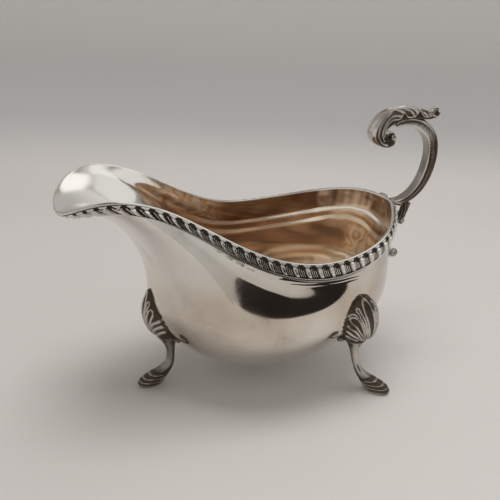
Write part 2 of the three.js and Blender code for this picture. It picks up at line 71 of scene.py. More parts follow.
CAP = [
    [97.8, 116.8, 1.0, 2.4], [95.4, 116.9, 1.9, 3.2], [92.2, 117.4, 2.3, 3.7], [88.4, 117.9, 2.6, 4.0], [84.2, 118.3, 2.8, 4.3], [79.8, 118.2, 3.0, 4.5],
    [75.4, 117.4, 3.2, 4.8], [71.4, 115.7, 3.5, 5.0], [68.5, 113.1, 3.5, 5.1], [67.4, 110.3, 3.0, 5.1], [68.4, 108.1, 2.4, 5.0], [70.8, 107.1, 2.0, 4.9],
    [73.2, 107.5, 1.7, 4.8], [74.2, 109.2, 1.4, 4.7], [73.4, 110.7, 1.1, 4.6]]
STRUT = [
    [88.2, 75.8, 1.9, 2.2], [87.6, 73.4, 1.8, 2.1], [86.8, 71.0, 1.7, 2.1], [85.6, 68.7, 1.7, 2.3], [83.4, 67.1, 1.4, 2.6], [81.5, 66.7, 1.1, 2.8], [79.7, 66.7, 0.9, 2.7]]


# ------------------------------------------------------------------ curves
def cyclic(y):
    y = np.asarray(y, float); n = len(y)
    A = 4 * np.eye(n) + np.roll(np.eye(n), 1, 0) + np.roll(np.eye(n), -1, 0)
    m = np.linalg.solve(A, 6 * (np.roll(y, -1) - 2 * y + np.roll(y, 1)))

    def f(u):
        u = np.asarray(u, float)
        i = np.floor(u).astype(int); t = u - i; i = i % n; j = (i + 1) % n; g = 1 - t
        return g * y[i] + t * y[j] + ((g ** 3 - g) * m[i] + (t ** 3 - t) * m[j]) / 6
    return f


def natural(x, y):
    x = np.asarray(x, float); y = np.asarray(y, float); n = len(x)
    A = np.eye(n); r = np.zeros(n)
    for i in range(1, n - 1):
        a, b = x[i] - x[i - 1], x[i + 1] - x[i]
        A[i, i - 1], A[i, i], A[i, i + 1] = a, 2 * (a + b), b
        r[i] = 6 * ((y[i + 1] - y[i]) / b - (y[i] - y[i - 1]) / a)
    m = np.linalg.solve(A, r)

    def f(u):
        u = np.clip(np.asarray(u, float), x[0], x[-1])
        i = np.clip(np.searchsorted(x, u, side='right') - 1, 0, n - 2)
        h = x[i + 1] - x[i]; t = (u - x[i]) / h; g = 1 - t
        return g * y[i] + t * y[i + 1] + h * h * ((g ** 3 - g) * m[i] + (t ** 3 - t) * m[i + 1]) / 6
    return f


def path(points, closed=False):
    P = np.asarray(points, float)
    d = np.concatenate([[0], np.cumsum(np.linalg.norm(np.diff(P[:, :2] if P.shape[1] == 4 and not closed else P[:, :3], axis=0), axis=1))])
    return d, [natural(d, P[:, k]) for k in range(P.shape[1])]


def smooth(a, b, x):
    t = np.clip((x - a) / (b - a), 0, 1)
    return t * t * (3 - 2 * t)


def unit(v):
    return v / np.maximum(np.linalg.norm(v, axis=-1, keepdims=True), 1e-9)


def wave(p, length, seed, n=7):
    """A smooth, repeatable ripple of about that wavelength, between -1 and 1."""
    g = np.random.default_rng(seed)
    out = 0
    for _ in range(n):
        k = unit(g.normal(size=3)) * 2 * pi / (length * g.uniform(0.75, 1.4))
        out = out + np.sin(p @ k + g.uniform(0, 2 * pi))
    return out / n ** 0.5 / 1.4


# ------------------------------------------------------------------ bowl surface: s 0..2 round the rim from the lip tip, t 0..2 rim to keel
mirror = lambda a, k: list(a) + [k * v for v in reversed(a[1:-1])]
_x, _y, _z = cyclic(mirror(RIM_X, 1)), cyclic(mirror([-v for v in RIM_W], -1)), cyclic(mirror(RIM_Z, 1))


def rim(s):
    s = np.asarray(s, float)
    return np.stack([_x(8 * s), _y(8 * s), _z(8 * s)], -1)


def surf(s, t):
    s, t = np.broadcast_arrays(np.asarray(s, float) % 2, np.asarray(t, float))
    R = rim(s); c = np.cos(pi * s); sn = np.abs(np.sin(pi * s)); e = 2 / BELLY_N
    sg = np.where(s > 1, -1.0, 1.0); A = np.where(c > 0, BELLY_FRONT, BELLY_REAR)
    bx = BELLY_X - A * np.sign(c) * np.abs(c) ** e; by = -sg * BELLY_HALF * sn ** e
    wf = np.where(c > 0, c * c, 0); wr = np.where(c < 0, c * c, 0); wm = 1 - wf - wr
    q = np.stack([BELLY_X - R[..., 0], -R[..., 1], 0 * bx], -1); q = unit(q)
    ang = ANG_LIP * wf; a = TAN_LIP * wf + TAN_SIDE * wm + TAN_TAIL * wr
    P1 = R + a[..., None] * np.stack([q[..., 0] * np.sin(ang), q[..., 1] * np.sin(ang), -np.cos(ang)], -1)
    full = lambda v: np.full(bx.shape, v)
    B = np.stack([bx, by, full(BELLY_Z)], -1)
    P2 = np.stack([bx, by, BELLY_Z + BELLY_UP * (R[..., 2] - BELLY_Z)], -1)
    P4 = np.stack([bx, by, full(BELLY_Z - BELLY_DOWN)], -1)
    P5 = np.stack([KEEL_X + (bx - KEEL_X) * KEEL_OUT, by * KEEL_OUT, full(KEEL_Z)], -1)
    K = np.stack([full(KEEL_X), full(0.0), full(KEEL_Z)], -1)

    def bez(p0, p1, p2, p3, u):
        u = u[..., None]; g = 1 - u
        return g ** 3 * p0 + 3 * g * g * u * p1 + 3 * g * u * u * p2 + u ** 3 * p3
    return np.where((t <= 1)[..., None], bez(R, P1, P2, B, np.clip(t, 0, 1)), bez(B, P4, P5, K, np.clip(t - 1, 0, 1)))


def normal(s, t):
    """Outward normal of the bowl's outside."""
    s, t = np.broadcast_arrays(np.asarray(s, float), np.asarray(t, float))
    h = 1e-3; t0, t1 = np.clip(t - h, 0, 1.99), np.clip(t + h, 0.002, 1.995)
    n = unit(np.cross(surf(s, t1) - surf(s, t0), surf(s + h, np.minimum(t, 1.99)) - surf(s - h, np.minimum(t, 1.99))))
    return np.where((t > 1.992)[..., None], np.array([0, 0, -1.0]), n)


# outline of the bowl's outside at each height, for keeping the legs out of the inside
_A = np.linspace(-pi, pi, 361); _ZL = np.arange(9.0, 66.0, 0.5)


def _outlines():
    s = np.linspace(0, 2, 721)[:-1]; t = np.linspace(0.35, 1.995, 500)
    S = surf(s[:, None], t[None, :]); out = []
    for z in _ZL:
        k = np.argmax(S[..., 2] < z, axis=1); k = np.clip(k, 1, len(t) - 1); i = np.arange(len(s))
        a, b = S[i, k - 1], S[i, k]; f = ((a[:, 2] - z) / (a[:, 2] - b[:, 2] + 1e-12))[:, None]
        p = a + np.clip(f, 0, 1) * (b - a); al = np.arctan2(p[:, 1], p[:, 0] - BELLY_X); r = np.hypot(p[:, 1], p[:, 0] - BELLY_X)
        o = np.argsort(al); al, r = al[o], r[o]
        out.append(np.interp(_A, np.r_[al - 2 * pi, al, al + 2 * pi], np.r_[r, r, r]))
    return np.array(out)


_RT = _outlines()


def depth_in(p):
    """How far inside the bowl's outside a point is, measured towards its middle, in mm (positive is inside)."""
    z = np.clip((p[..., 2] - _ZL[0]) / 0.5, 0, len(_ZL) - 1.001); i = z.astype(int); fz = z - i
    a = (np.arctan2(p[..., 1], p[..., 0] - BELLY_X) + pi) / (2 * pi) * 360; a = np.clip(a, 0, 359.999); j = a.astype(int); fa = a - j
    R = (1 - fz) * ((1 - fa) * _RT[i, j] + fa * _RT[i, j + 1]) + fz * ((1 - fa) * _RT[i + 1, j] + fa * _RT[i + 1, j + 1])
    d = R - np.hypot(p[..., 1], p[..., 0] - BELLY_X)
    return np.where(p[..., 2] < _ZL[0], -5.0, d)


# ------------------------------------------------------------------ meshes
def make(name, rings, ends=True, attrs=None, slot=None, close=True):
    """A closed mesh from rings of points. attrs: {name: values with the rings' shape}."""
    V = np.asarray(rings, float); n, m = V.shape[:2]
    verts = V.reshape(-1, 3)
    i, j = np.meshgrid(np.arange(n - 1), np.arange(m if close else m - 1), indexing='ij')
    a = i * m + j; b = i * m + (j + 1) % m
    quads = np.stack([a, b, b + m, a + m], -1).reshape(-1, 4)
    faces = [quads]
    vals = {k: np.asarray(v, float).reshape(-1) for k, v in (attrs or {}).items()}
    tris = []
    if ends:
        for r in (0, n - 1):
            c = V[r].mean(0); ci = len(verts); verts = np.vstack([verts, c])
            for k in vals: vals[k] = np.append(vals[k], np.asarray(attrs[k], float)[r].mean())
            jj = np.arange(m); p, q = r * m + jj, r * m + (jj + 1) % m
            tris.append(np.stack([np.full(m, ci), q, p], -1) if r == 0 else np.stack([np.full(m, ci), p, q], -1))
    tris = np.vstack(tris) if tris else np.zeros((0, 3), int)
    # outward faces
    P = verts
    vol = (P[quads[:, 0]] * np.cross(P[quads[:, 1]] - 0, P[quads[:, 2]])).sum() + (P[quads[:, 0]] * np.cross(P[quads[:, 2]], P[quads[:, 3]])).sum()
    if len(tris): vol += (P[tris[:, 0]] * np.cross(P[tris[:, 1]], P[tris[:, 2]])).sum()
    if vol < 0: quads = quads[:, ::-1]; tris = tris[:, ::-1]
    return mesh(name, verts, quads, tris, vals, slot)


def mesh(name, verts, quads, tris, vals, slot):
    me = bpy.data.meshes.new(name)
    me.vertices.add(len(verts)); me.vertices.foreach_set('co', ((np.asarray(verts) + np.array([SHIFT_X, 0, 0])) * MM).astype(np.float32).ravel())
    loops = np.concatenate([quads.ravel(), tris.ravel()]).astype(np.int32)
    me.loops.add(len(loops)); me.loops.foreach_set('vertex_index', loops)
    counts = np.concatenate([np.full(len(quads), 4), np.full(len(tris), 3)]).astype(np.int32)
    starts = np.concatenate([[0], np.cumsum(counts)[:-1]]).astype(np.int32)
    me.polygons.add(len(counts)); me.polygons.foreach_set('loop_start', starts)
    me.polygons.foreach_set('use_smooth', np.ones(len(counts), bool))
    me.update(calc_edges=True); me.validate()
    for k, v in (vals or {}).items():
        at = me.attributes.new(k, 'FLOAT', 'POINT'); at.data.foreach_set('value', np.asarray(v, np.float32))
    o = bpy.data.objects.new(name, me); bpy.context.scene.collection.objects.link(o)
    if slot: PIECES.append((o, slot))
    return o


PIECES = []
REPLACES = []


def frames(P):
    """Tangents and two carried side vectors along a line of points."""
    T = unit(np.gradient(P, axis=0)); up = np.array([0, 0, 1.0]) if abs(T[0, 2]) < 0.9 else np.array([1.0, 0, 0])
    A = np.zeros_like(P); B = np.zeros_like(P)
    for i in range(len(P)):
        A[i] = unit(np.cross(T[i], up)); B[i] = np.cross(A[i], T[i]); up = B[i]
    return T, A, B


def tube(points, r, m=20, squash=1.0):
    """Rings of a round tube with domed ends."""
    P = np.asarray(points, float); r = np.broadcast_to(np.asarray(r, float), len(P)).copy()
    T, A, B = frames(P)
    th = np.linspace(0, 2 * pi, m, endpoint=False); rings = []
    for k in (0.15, 0.55, 0.85): rings.append((P[0] - T[0] * r[0] * math.sqrt(1 - k * k), A[0], B[0], r[0] * k))
    for i in range(len(P)): rings.append((P[i], A[i], B[i], r[i]))
    for k in (0.85, 0.55, 0.15): rings.append((P[-1] + T[-1] * r[-1] * math.sqrt(1 - k * k), A[-1], B[-1], r[-1] * k))
    return np.array([c + rr * (np.cos(th)[:, None] * a + squash * np.sin(th)[:, None] * b) for c, a, b, rr in rings])


def resample(points, n):
    P = np.asarray(points, float)
    d = np.concatenate([[0], np.cumsum(np.linalg.norm(np.diff(P[:, :3], axis=0), axis=1))])
    u = np.linspace(0, d[-1], n)
    return np.stack([natural(d, P[:, k])(u) for k in range(P.shape[1])], -1)


def volute(end, d, n, side, R, turns, r0, r1, k=40):
    """Points and radii of a spiral that starts at end, going along d, in the plane across n."""
    d = unit(d - n * (d @ n)); e = np.cross(n, d) * side
    c = end + e * R; a = np.linspace(0, turns * 2 * pi, k)[1:]
    rad = R * (1 - 0.78 * a / a[-1])
    P = c + rad[:, None] * (-np.cos(a)[:, None] * e + np.sin(a)[:, None] * d)
    return P, np.linspace(r0, r1, k)[1:]


# ------------------------------------------------------------------ bowl
SH_S = [0.0, 0.473, 0.535, 0.592, 0.642, 0.692, 0.742, 0.796, 0.854, 0.912, 0.973, 1.0]
SH_UP = [0.70, 0.69, 0.62, 0.54, 0.51, 0.49, 0.47, 0.44, 0.41, 0.43, 0.50, 0.52]
SH_LO = [0.88, 0.86, 0.84, 0.79, 0.74, 0.71, 0.67, 0.61, 0.59, 0.63, 0.72, 0.74]


def bowl():
    ns = 520
    s = np.linspace(0, 2, ns + 1)[:-1]
    t = np.concatenate([np.linspace(0, 0.5, 46), np.linspace(0.5, 1.9, 96)[1:], [1.93, 1.96, 1.98, 1.99]])
    S = surf(s[None, :], t[:, None]); N = normal(s[None, :], t[:, None])
    ripple = wave(S, 17.0, 3)[..., None]
    out = S + N * ripple * 0.02 * smooth(0.06, 0.3, t)[:, None, None]
    hit = (wave(S, 11.0, 5) + 0.6 * wave(S, 7.0, 8))[..., None]
    deep = smooth(-70, -35, S[..., 0])[..., None]
    # two soft shoulders worked into the wall where the neck turns into the belly
    sy = np.where(s > 1, 2 - s, s)
    up_, lo_ = np.interp(sy, SH_S, SH_UP)[None, :], np.interp(sy, SH_S, SH_LO)[None, :]
    on = smooth(0.34, 0.46, sy)[None, :]; T_ = t[:, None] + 0 * sy[None, :]
    step = (0.62 * smooth(up_ - 0.05, up_ + 0.035, T_) + 0.52 * smooth(lo_ - 0.05, lo_ + 0.03, T_)) * (1 - smooth(lo_ + 0.12, lo_ + 0.75, T_))
    step = (step * on)[..., None]
    so_, st_ = np.interp(sy, [0.30, 0.385, 0.469, 0.538, 0.592, 0.654, 0.719, 1.0], [0.62, 0.56, 0.43, 0.33, 0.31, 0.36, 0.50, 0.60])[None, :], 0.075
    crease = (np.exp(-((T_ - so_) / 0.030) ** 2) + 0.7 * np.exp(-((T_ - so_ - st_) / 0.022) ** 2)) * smooth(0.46, 0.54, sy)[None, :] * (1 - smooth(0.74, 0.84, sy))[None, :]
    out = out - N * (0.16 * crease)[..., None]
    swirl = (0.055 * smooth(-58, -42, S[..., 0]) * smooth(6, -12, S[..., 0]) * smooth(0, 8, S[..., 1]) * smooth(0.95, 0.6, T_) + 0.040 * smooth(48, 60, S[..., 0]))[..., None]
    inn = S - N * (WALL + step) + N * (hit * (0.007 + 0.006 * deep) + (wave(S, 8.0, 12) + 0.5 * wave(S, 5.0, 14))[..., None] * swirl) * smooth(0.02, 0.15, t)[:, None, None]
    up = unit(S[0] - S[1])
    lip = [S[0] - N[0] * WALL / 2 + WALL / 2 * (math.cos(a) * N[0] + math.sin(a) * up) for a in (pi / 5, 2 * pi / 5, 3 * pi / 5, 4 * pi / 5)]
    rings = np.concatenate([out[::-1], np.array(lip), inn])
    inside = np.concatenate([np.zeros((len(t), ns)), np.full((4, ns), 0.3), np.ones((len(t), ns))])
    # tarnish inside: dark under the rim and on the panel, paler along the shoulders, cloudy at both ends
    mm_ = np.stack([205 * s, 0 * s, 0 * s], -1)
    streak = 0.5 + 0.5 * wave(mm_, 5.0, 31)[None, :]
    curl_ = 0.5 + 0.5 * np.sin(7 * wave(S, 15.0, 23) + 3.5 * wave(S, 6.5, 24))
    y_ = sy[None, :]
    top = 1 - smooth(up_ - 0.12, up_ + 0.01, T_)
    pat = 0.66 + 0.10 * wave(S, 20.0, 33)
    pat = pat + (0.90 + 0.08 * wave(S, 12.0, 35) - pat) * top * smooth(0.50, 0.57, y_) * (1 - smooth(0.93, 0.98, y_))
    pat = pat - 0.42 * streak * top * smooth(0.74, 0.80, y_) * (1 - 0.4 * smooth(0.90, 0.95, y_))
    left = smooth(0.31, 0.36, y_) * (1 - smooth(0.49, 0.55, y_)) * (1 - smooth(0.50, 0.66, T_))
    right = smooth(0.84, 0.88, y_) * smooth(lo_ + 0.02, lo_ + 0.08, T_) * (1 - smooth(1.10, 1.25, T_))
    pat = pat + (0.40 * curl_ ** 1.6 + 0.05 + 0.14 * wave(S, 9.0, 36) - pat) * np.maximum(left, right)
    pat = pat + (0.46 - pat) * 0.8 * top * smooth(0.93, 0.975, y_)
    tw_ = np.interp(sy, [0.55, 0.612, 0.635, 0.72, 0.78, 0.85, 0.9], [1.24, 1.16, 1.12, 1.062, 1.04, 1.04, 1.05])[None, :]
    arc_ = (np.exp(-((T_ - tw_) / 0.030) ** 2) + 0.7 * np.exp(-((T_ - tw_ - 0.080) / 0.022) ** 2)) * smooth(0.56, 0.63, y_) * (1 - smooth(0.86, 0.91, y_))
    fat = 1 + 1.1 * smooth(0.80, 0.93, y_)
    pale = np.maximum((np.exp(-((T_ - up_ + 0.005) / (0.055 * fat)) ** 4) + 0.95 * np.exp(-((T_ - lo_ + 0.005) / 0.042) ** 4)) * on, 1.0 * arc_)
    pat = pat * (1 - 0.92 * np.clip(pale, 0, 1))
    zero = np.zeros((len(t), ns))
    make('bowl_shell', rings, True, {'inside': inside, 'patina': np.clip(np.concatenate([zero, np.zeros((4, ns)), pat]), 0, 1)}, 'polished_silver')


# ------------------------------------------------------------------ gadroon border
_sa = np.linspace(0, 1, 4001); _ra = rim(_sa); _arc = np.concatenate([[0], np.cumsum(np.linalg.norm(np.diff(_ra, axis=0), axis=1))]); RIM_L = _arc[-1]
# lobe number against distance from the lip tip: about 5 mm apart at the ends and 5.5 mm in between
_LA = [0, 15.6, 30.8, 46.6, 63.7, 80.5, 96.4, 111.8, 127.2, 141.9, 157.4, 171.6, 185.6, RIM_L]
_LN = [0.0, 3.0, 6.0, 9.0, 12.05, 15.1, 18.05, 21.0, 24.0, 27.0, 30.0, 33.0, 36.0, 39.0]
lobe_no = natural(_LA, _LN)


def border(side):
    cols = 39 * 36
    d = np.linspace(0.12, RIM_L - 0.12, cols); s = np.interp(d, _arc, _sa); uu = d / RIM_L
    k = 1.17 * (0.60 + 0.43 * np.minimum(1, uu / 0.13)) * np.where(uu > 0.96, 1 - 0.1 * (uu - 0.96) / 0.04, 1) * np.interp(uu, [0, 0.3, 0.55, 1], [1, 1, 0.96, 0.92])
    w = np.concatenate([[-1.65, -1.45, -1.2, -1.0, -0.8, -0.6, -0.4, -0.25, -0.15, -0.08], np.linspace(0.0, 1.6, 19), np.linspace(1.7, 5.2, 34), np.linspace(5.28, 7.75, 34)])
    tw = [-1.65, -1.2, -0.9, -0.3, 0.15, 0.6, 6.1, 6.5, 8.0]
    n0 = np.interp(w, tw, [-0.95, -1.03, -0.90, -0.08, 0.34, 0.42, 0.30, 0.12, 0.06]); u0 = np.interp(w, tw, [-0.35, 0.12, 0.42, 0.54, 0.42, 0.0, -5.5, -5.9, -7.4])
    fi = np.radians(np.interp(w, [-1.65, -0.9, -0.2, 0.15, 0.7, 1.4], [100, 88, 80, 24, 9, 0]))
    tt = np.linspace(0, 1.0, 240); S0 = surf(s[:, None], tt[None, :])
    dist = np.concatenate([np.zeros((cols, 1)), np.cumsum(np.linalg.norm(np.diff(S0, axis=1), axis=2), axis=1)], 1)
    T = np.array([np.interp(np.maximum(0, -u0) * k[i], dist[i], tt) for i in range(cols)])
    P = surf(s[:, None], T); N = normal(s[:, None], T); up = unit(S0[:, 0] - S0[:, 3])[:, None, :] + 0 * N
    P = P + N * n0[None, :, None] + up * (np.maximum(0, u0)[None, :, None])
    dirn = N * np.cos(fi)[None, :, None] + up * np.sin(fi)[None, :, None]
    W = np.broadcast_to(w[None, :], T.shape); D = d[:, None]
    lean = np.interp(D, [0, 48, 62, 74, 89, 100, 111, 125, 140, 160, 200], [0.04, 0.0, -0.14, -0.33, -0.20, -0.08, 0.04, 0.20, 0.34, 0.42, 0.46])
    ph = lobe_no(D + 0 * W) - lean * (W - 0.3) / 6.1
    f = ph - np.round(ph)
    dome = lambda x: np.sqrt(np.clip(1 - x * x, 0, 1))
    flat = lambda x: np.sqrt(np.clip(1 - np.abs(x) ** 4, 0, 1))
    # each repeat: a small rounded head under the rim's edge, a plain lobe hanging below it, then one tall and two short reeds in a dark bay
    head = flat(f / (0.33 - 0.20 * smooth(0.40, 1.25, W))) * dome((W - 0.80) / 0.60) ** 0.6
    wide = 0.225 + 0.005 * smooth(70, 40, D)
    hw = wide - 0.035 * smooth(1.4, 5.3, W)
    drop = flat(f / hw) * smooth(1.22, 1.52, W) * (1 - smooth(5.08, 5.30, W))
    g = f % 1.0
    def reed(c, hw_, a, b): return dome((g - c) / hw_) * smooth(a - 0.25, a + 0.15, W) * (1 - smooth(b - 0.2, b + 0.15, W))
    r1, r2, r3 = reed(0.320, 0.052, 1.35, 5.0), reed(0.490, 0.066, 2.05, 5.0), reed(0.660, 0.066, 2.20, 5.0)
    lipz = smooth(66, 50, D); r1, r3 = r1 * (1 - lipz), r3 * (1 - lipz); r2 = np.maximum(r2 * (1 - lipz), 1.15 * lipz * reed(0.53, 0.105, 1.45, 5.0))
    rel = 0.20 + 0 * W
    rel = np.maximum(rel, 0.12 + 0.72 * head); rel = np.maximum(rel, 0.25 + (1.50 - 0.55 * smooth(3.9, 5.2, W)) * drop)
    rel = np.maximum(rel, 0.2 + 0.80 * r1); rel = np.maximum(rel, 0.2 + 0.62 * r2); rel = np.maximum(rel, 0.2 + 0.58 * r3)
    e0 = dome((W + 0.42) / 0.62); e1 = dome((W - 5.92) / 0.44); e2 = dome((W - 6.95) / 0.27)
    rel = np.where(W < 0.20, 0.02 + 0.22 * e0, rel)
    rel = np.where(W > 5.30, 0.04 + 0.0 * W, rel); rel = np.where(W > 5.5, np.maximum(rel, 0.04 + 1.00 * e1), rel); rel = np.maximum(rel, 0.02 + 0.34 * e2)
    rel = np.where(W > 7.20, 0.02 - 0.30 * smooth(7.2, 7.7, W), rel)
    fade = 0.30 + 0.70 * smooth(2, 16, D) + 0.30 * smooth(8, 24, D) * smooth(66, 40, D)
    rel = rel * fade
    rel[:, -1] = -0.35; rel[:, 0] = 0.0
    Q = P + dirn * rel[..., None]
    if side > 0: Q[..., 1] *= -1
    Q[..., 1] = np.minimum(Q[..., 1], -0.02) if side < 0 else np.maximum(Q[..., 1], 0.02)
    shine = np.maximum.reduce([2.0 * head, 1.8 * drop, 0.92 * r1, 0.84 * r2, 0.80 * r3, 1.3 * (W < 0.16) + 0 * W, 1.9 * e1, 1.9 * e2, 1.0 * smooth(7.32, 7.45, W)])
    ox = np.clip(1.0 - shine, 0, 1)
    name = 'gadroon_left' if side > 0 else 'gadroon_right'
    o = make(name, Q, True, {'oxide_and_shade': ox}, 'border_silver')
    REPLACES.append((o, ['rim_border_left' if side > 0 else 'rim_border_right']))


# ------------------------------------------------------------------ sweeps in the plane y = 0
def sweep(P, n, m, shape, span=(0, 1)):
    P = np.asarray(P, float)
    d = np.concatenate([[0], np.cumsum(np.hypot(np.diff(P[:, 0]), np.diff(P[:, 1])))])
    f = [natural(d, P[:, k]) for k in range(4)]
    u = np.linspace(span[0], span[1], n) * d[-1]; h = 0.05
    tx = f[0](u + h) - f[0](u - h); tz = f[1](u + h) - f[1](u - h); l = np.hypot(tx, tz); nx, nz = tz / l, -tx / l
    th = np.linspace(0, 2 * pi, m, endpoint=False)
    U, TH = np.meshgrid(u, th, indexing='ij')
    p, q, ox = shape(U, TH, f[2](U), f[3](U), d[-1])
    X = f[0](u)[:, None] + nx[:, None] * p; Z = f[1](u)[:, None] + nz[:, None] * p
    return np.stack([X, q, Z], -1), ox


def handle():
    def shape(U, TH, a, b, D):
        c, s = np.cos(TH), np.sin(TH)
        e = np.where(c < 0, 0.55, 0.82)
        cc = np.sign(c) * np.abs(c) ** e; ss = np.sign(s) * np.abs(s) ** np.where(c < 0, 0.56, 0.80)
        p, q = a * cc, b * ss
        # a raised fillet along both inner corners and a shallow hollow between them
        k = smooth(0.15, 0.6, -cc) * smooth(0.95, 0.4, np.abs(ss))
        p = p + 0.45 * k * smooth(0, 6, U)
        # tarnish film on the bar, partly painted shade and reflection: heavy over the lower outside and the inner face,
        # with a narrow clean line left along the inner corner as a painted highlight
        ox = 1.25 * smooth(0, 6, U) * (1 - smooth(36, 46, U)) * smooth(-0.80, -0.35, cc) * (0.55 + 0.45 * smooth(-0.4, 0.5, cc)) + 0.36 * smooth(29, 38, U) * smooth(-0.1, 0.8, cc) + 0.62 * smooth(-0.80, -0.92, cc) + 0.25 * smooth(0.5, 0.1, np.abs(cc + 0.55)) * smooth(0.8, 1.0, np.abs(ss))
        return p, q, ox
    R, ox = sweep(HANDLE, 260, 96, shape)
    make('handle_scroll_bar', R, True, {'oxide_and_shade': 0 * ox, 'tarnish_and_shade': ox}, 'cast_silver')


def polyline(points, step=0.12):
    P = np.asarray(points, float)
    d = np.concatenate([[0], np.cumsum(np.linalg.norm(np.diff(P, axis=0), axis=1))])
    u = np.linspace(0, d[-1], max(8, int(d[-1] / step)))
    return np.stack([natural(d, P[:, k])(u) for k in range(P.shape[1])], -1)


def near_line(x, y, line):
    """Distance from every point (x, y) to a dense line of points."""
    out = np.full(x.shape, 1e9)
    for px, py in line: out = np.minimum(out, (x - px) ** 2 + (y - py) ** 2)
    return np.sqrt(out)


# ridges of the leaf on one side: distance along the casting in mm, angle round it from the top in degrees
LEAF = [([(12.4, 62), (13.4, 40), (14.8, 21), (16.8, 11), (20.0, 7), (23.7, 12), (26.8, 20), (29.8, 32), (32.0, 35), (33.4, 37), (35.5, 44), (38.5, 52), (41.5, 60)], 0.46, 0.62),
        ([(19.2, 60), (20.2, 42), (21.6, 29), (23.8, 26), (26.8, 40), (29.2, 48), (31.4, 55), (33.6, 63), (35.6, 72), (38.5, 80)], 0.44, 0.60),
        ([(20.6, 72), (22.4, 62), (24.6, 54), (27.2, 60), (29.2, 68), (31.2, 77), (33.2, 88), (36.0, 98)], 0.40, 0.52),
        ([(4.9, 62), (6.4, 50), (8.6, 38), (11.0, 25), (14.0, 12)], 0.40, 0.50),
        ([(6.2, 80), (7.6, 66), (9.6, 50), (11.2, 36)], 0.34, 0.45),
        ([(14.0, 84), (14.9, 66), (16.4, 46), (18.2, 30), (20.4, 20)], 0.36, 0.48),
        ([(22.5, 82), (24.6, 74), (27.0, 73), (29.0, 80), (30.8, 90), (33.0, 104)], 0.34, 0.40)]
LEAF_EDGE = ([0, 3.2, 4.2, 5.2, 6.3, 7.2, 8.6, 9.8, 10.7, 11.4, 12.6, 14.2, 15.8, 17.2, 18.4, 19.3, 20.4, 21.6, 23.2, 25.0, 26.8, 28.6, 30.3, 32.3, 34.5, 37, 40, 45],
             [58, 60, 72, 80, 86, 90, 84, 72, 50, 56, 76, 90, 94, 91, 78, 58, 74, 86, 84, 76, 76, 80, 90, 105, 112, 118, 128, 140])


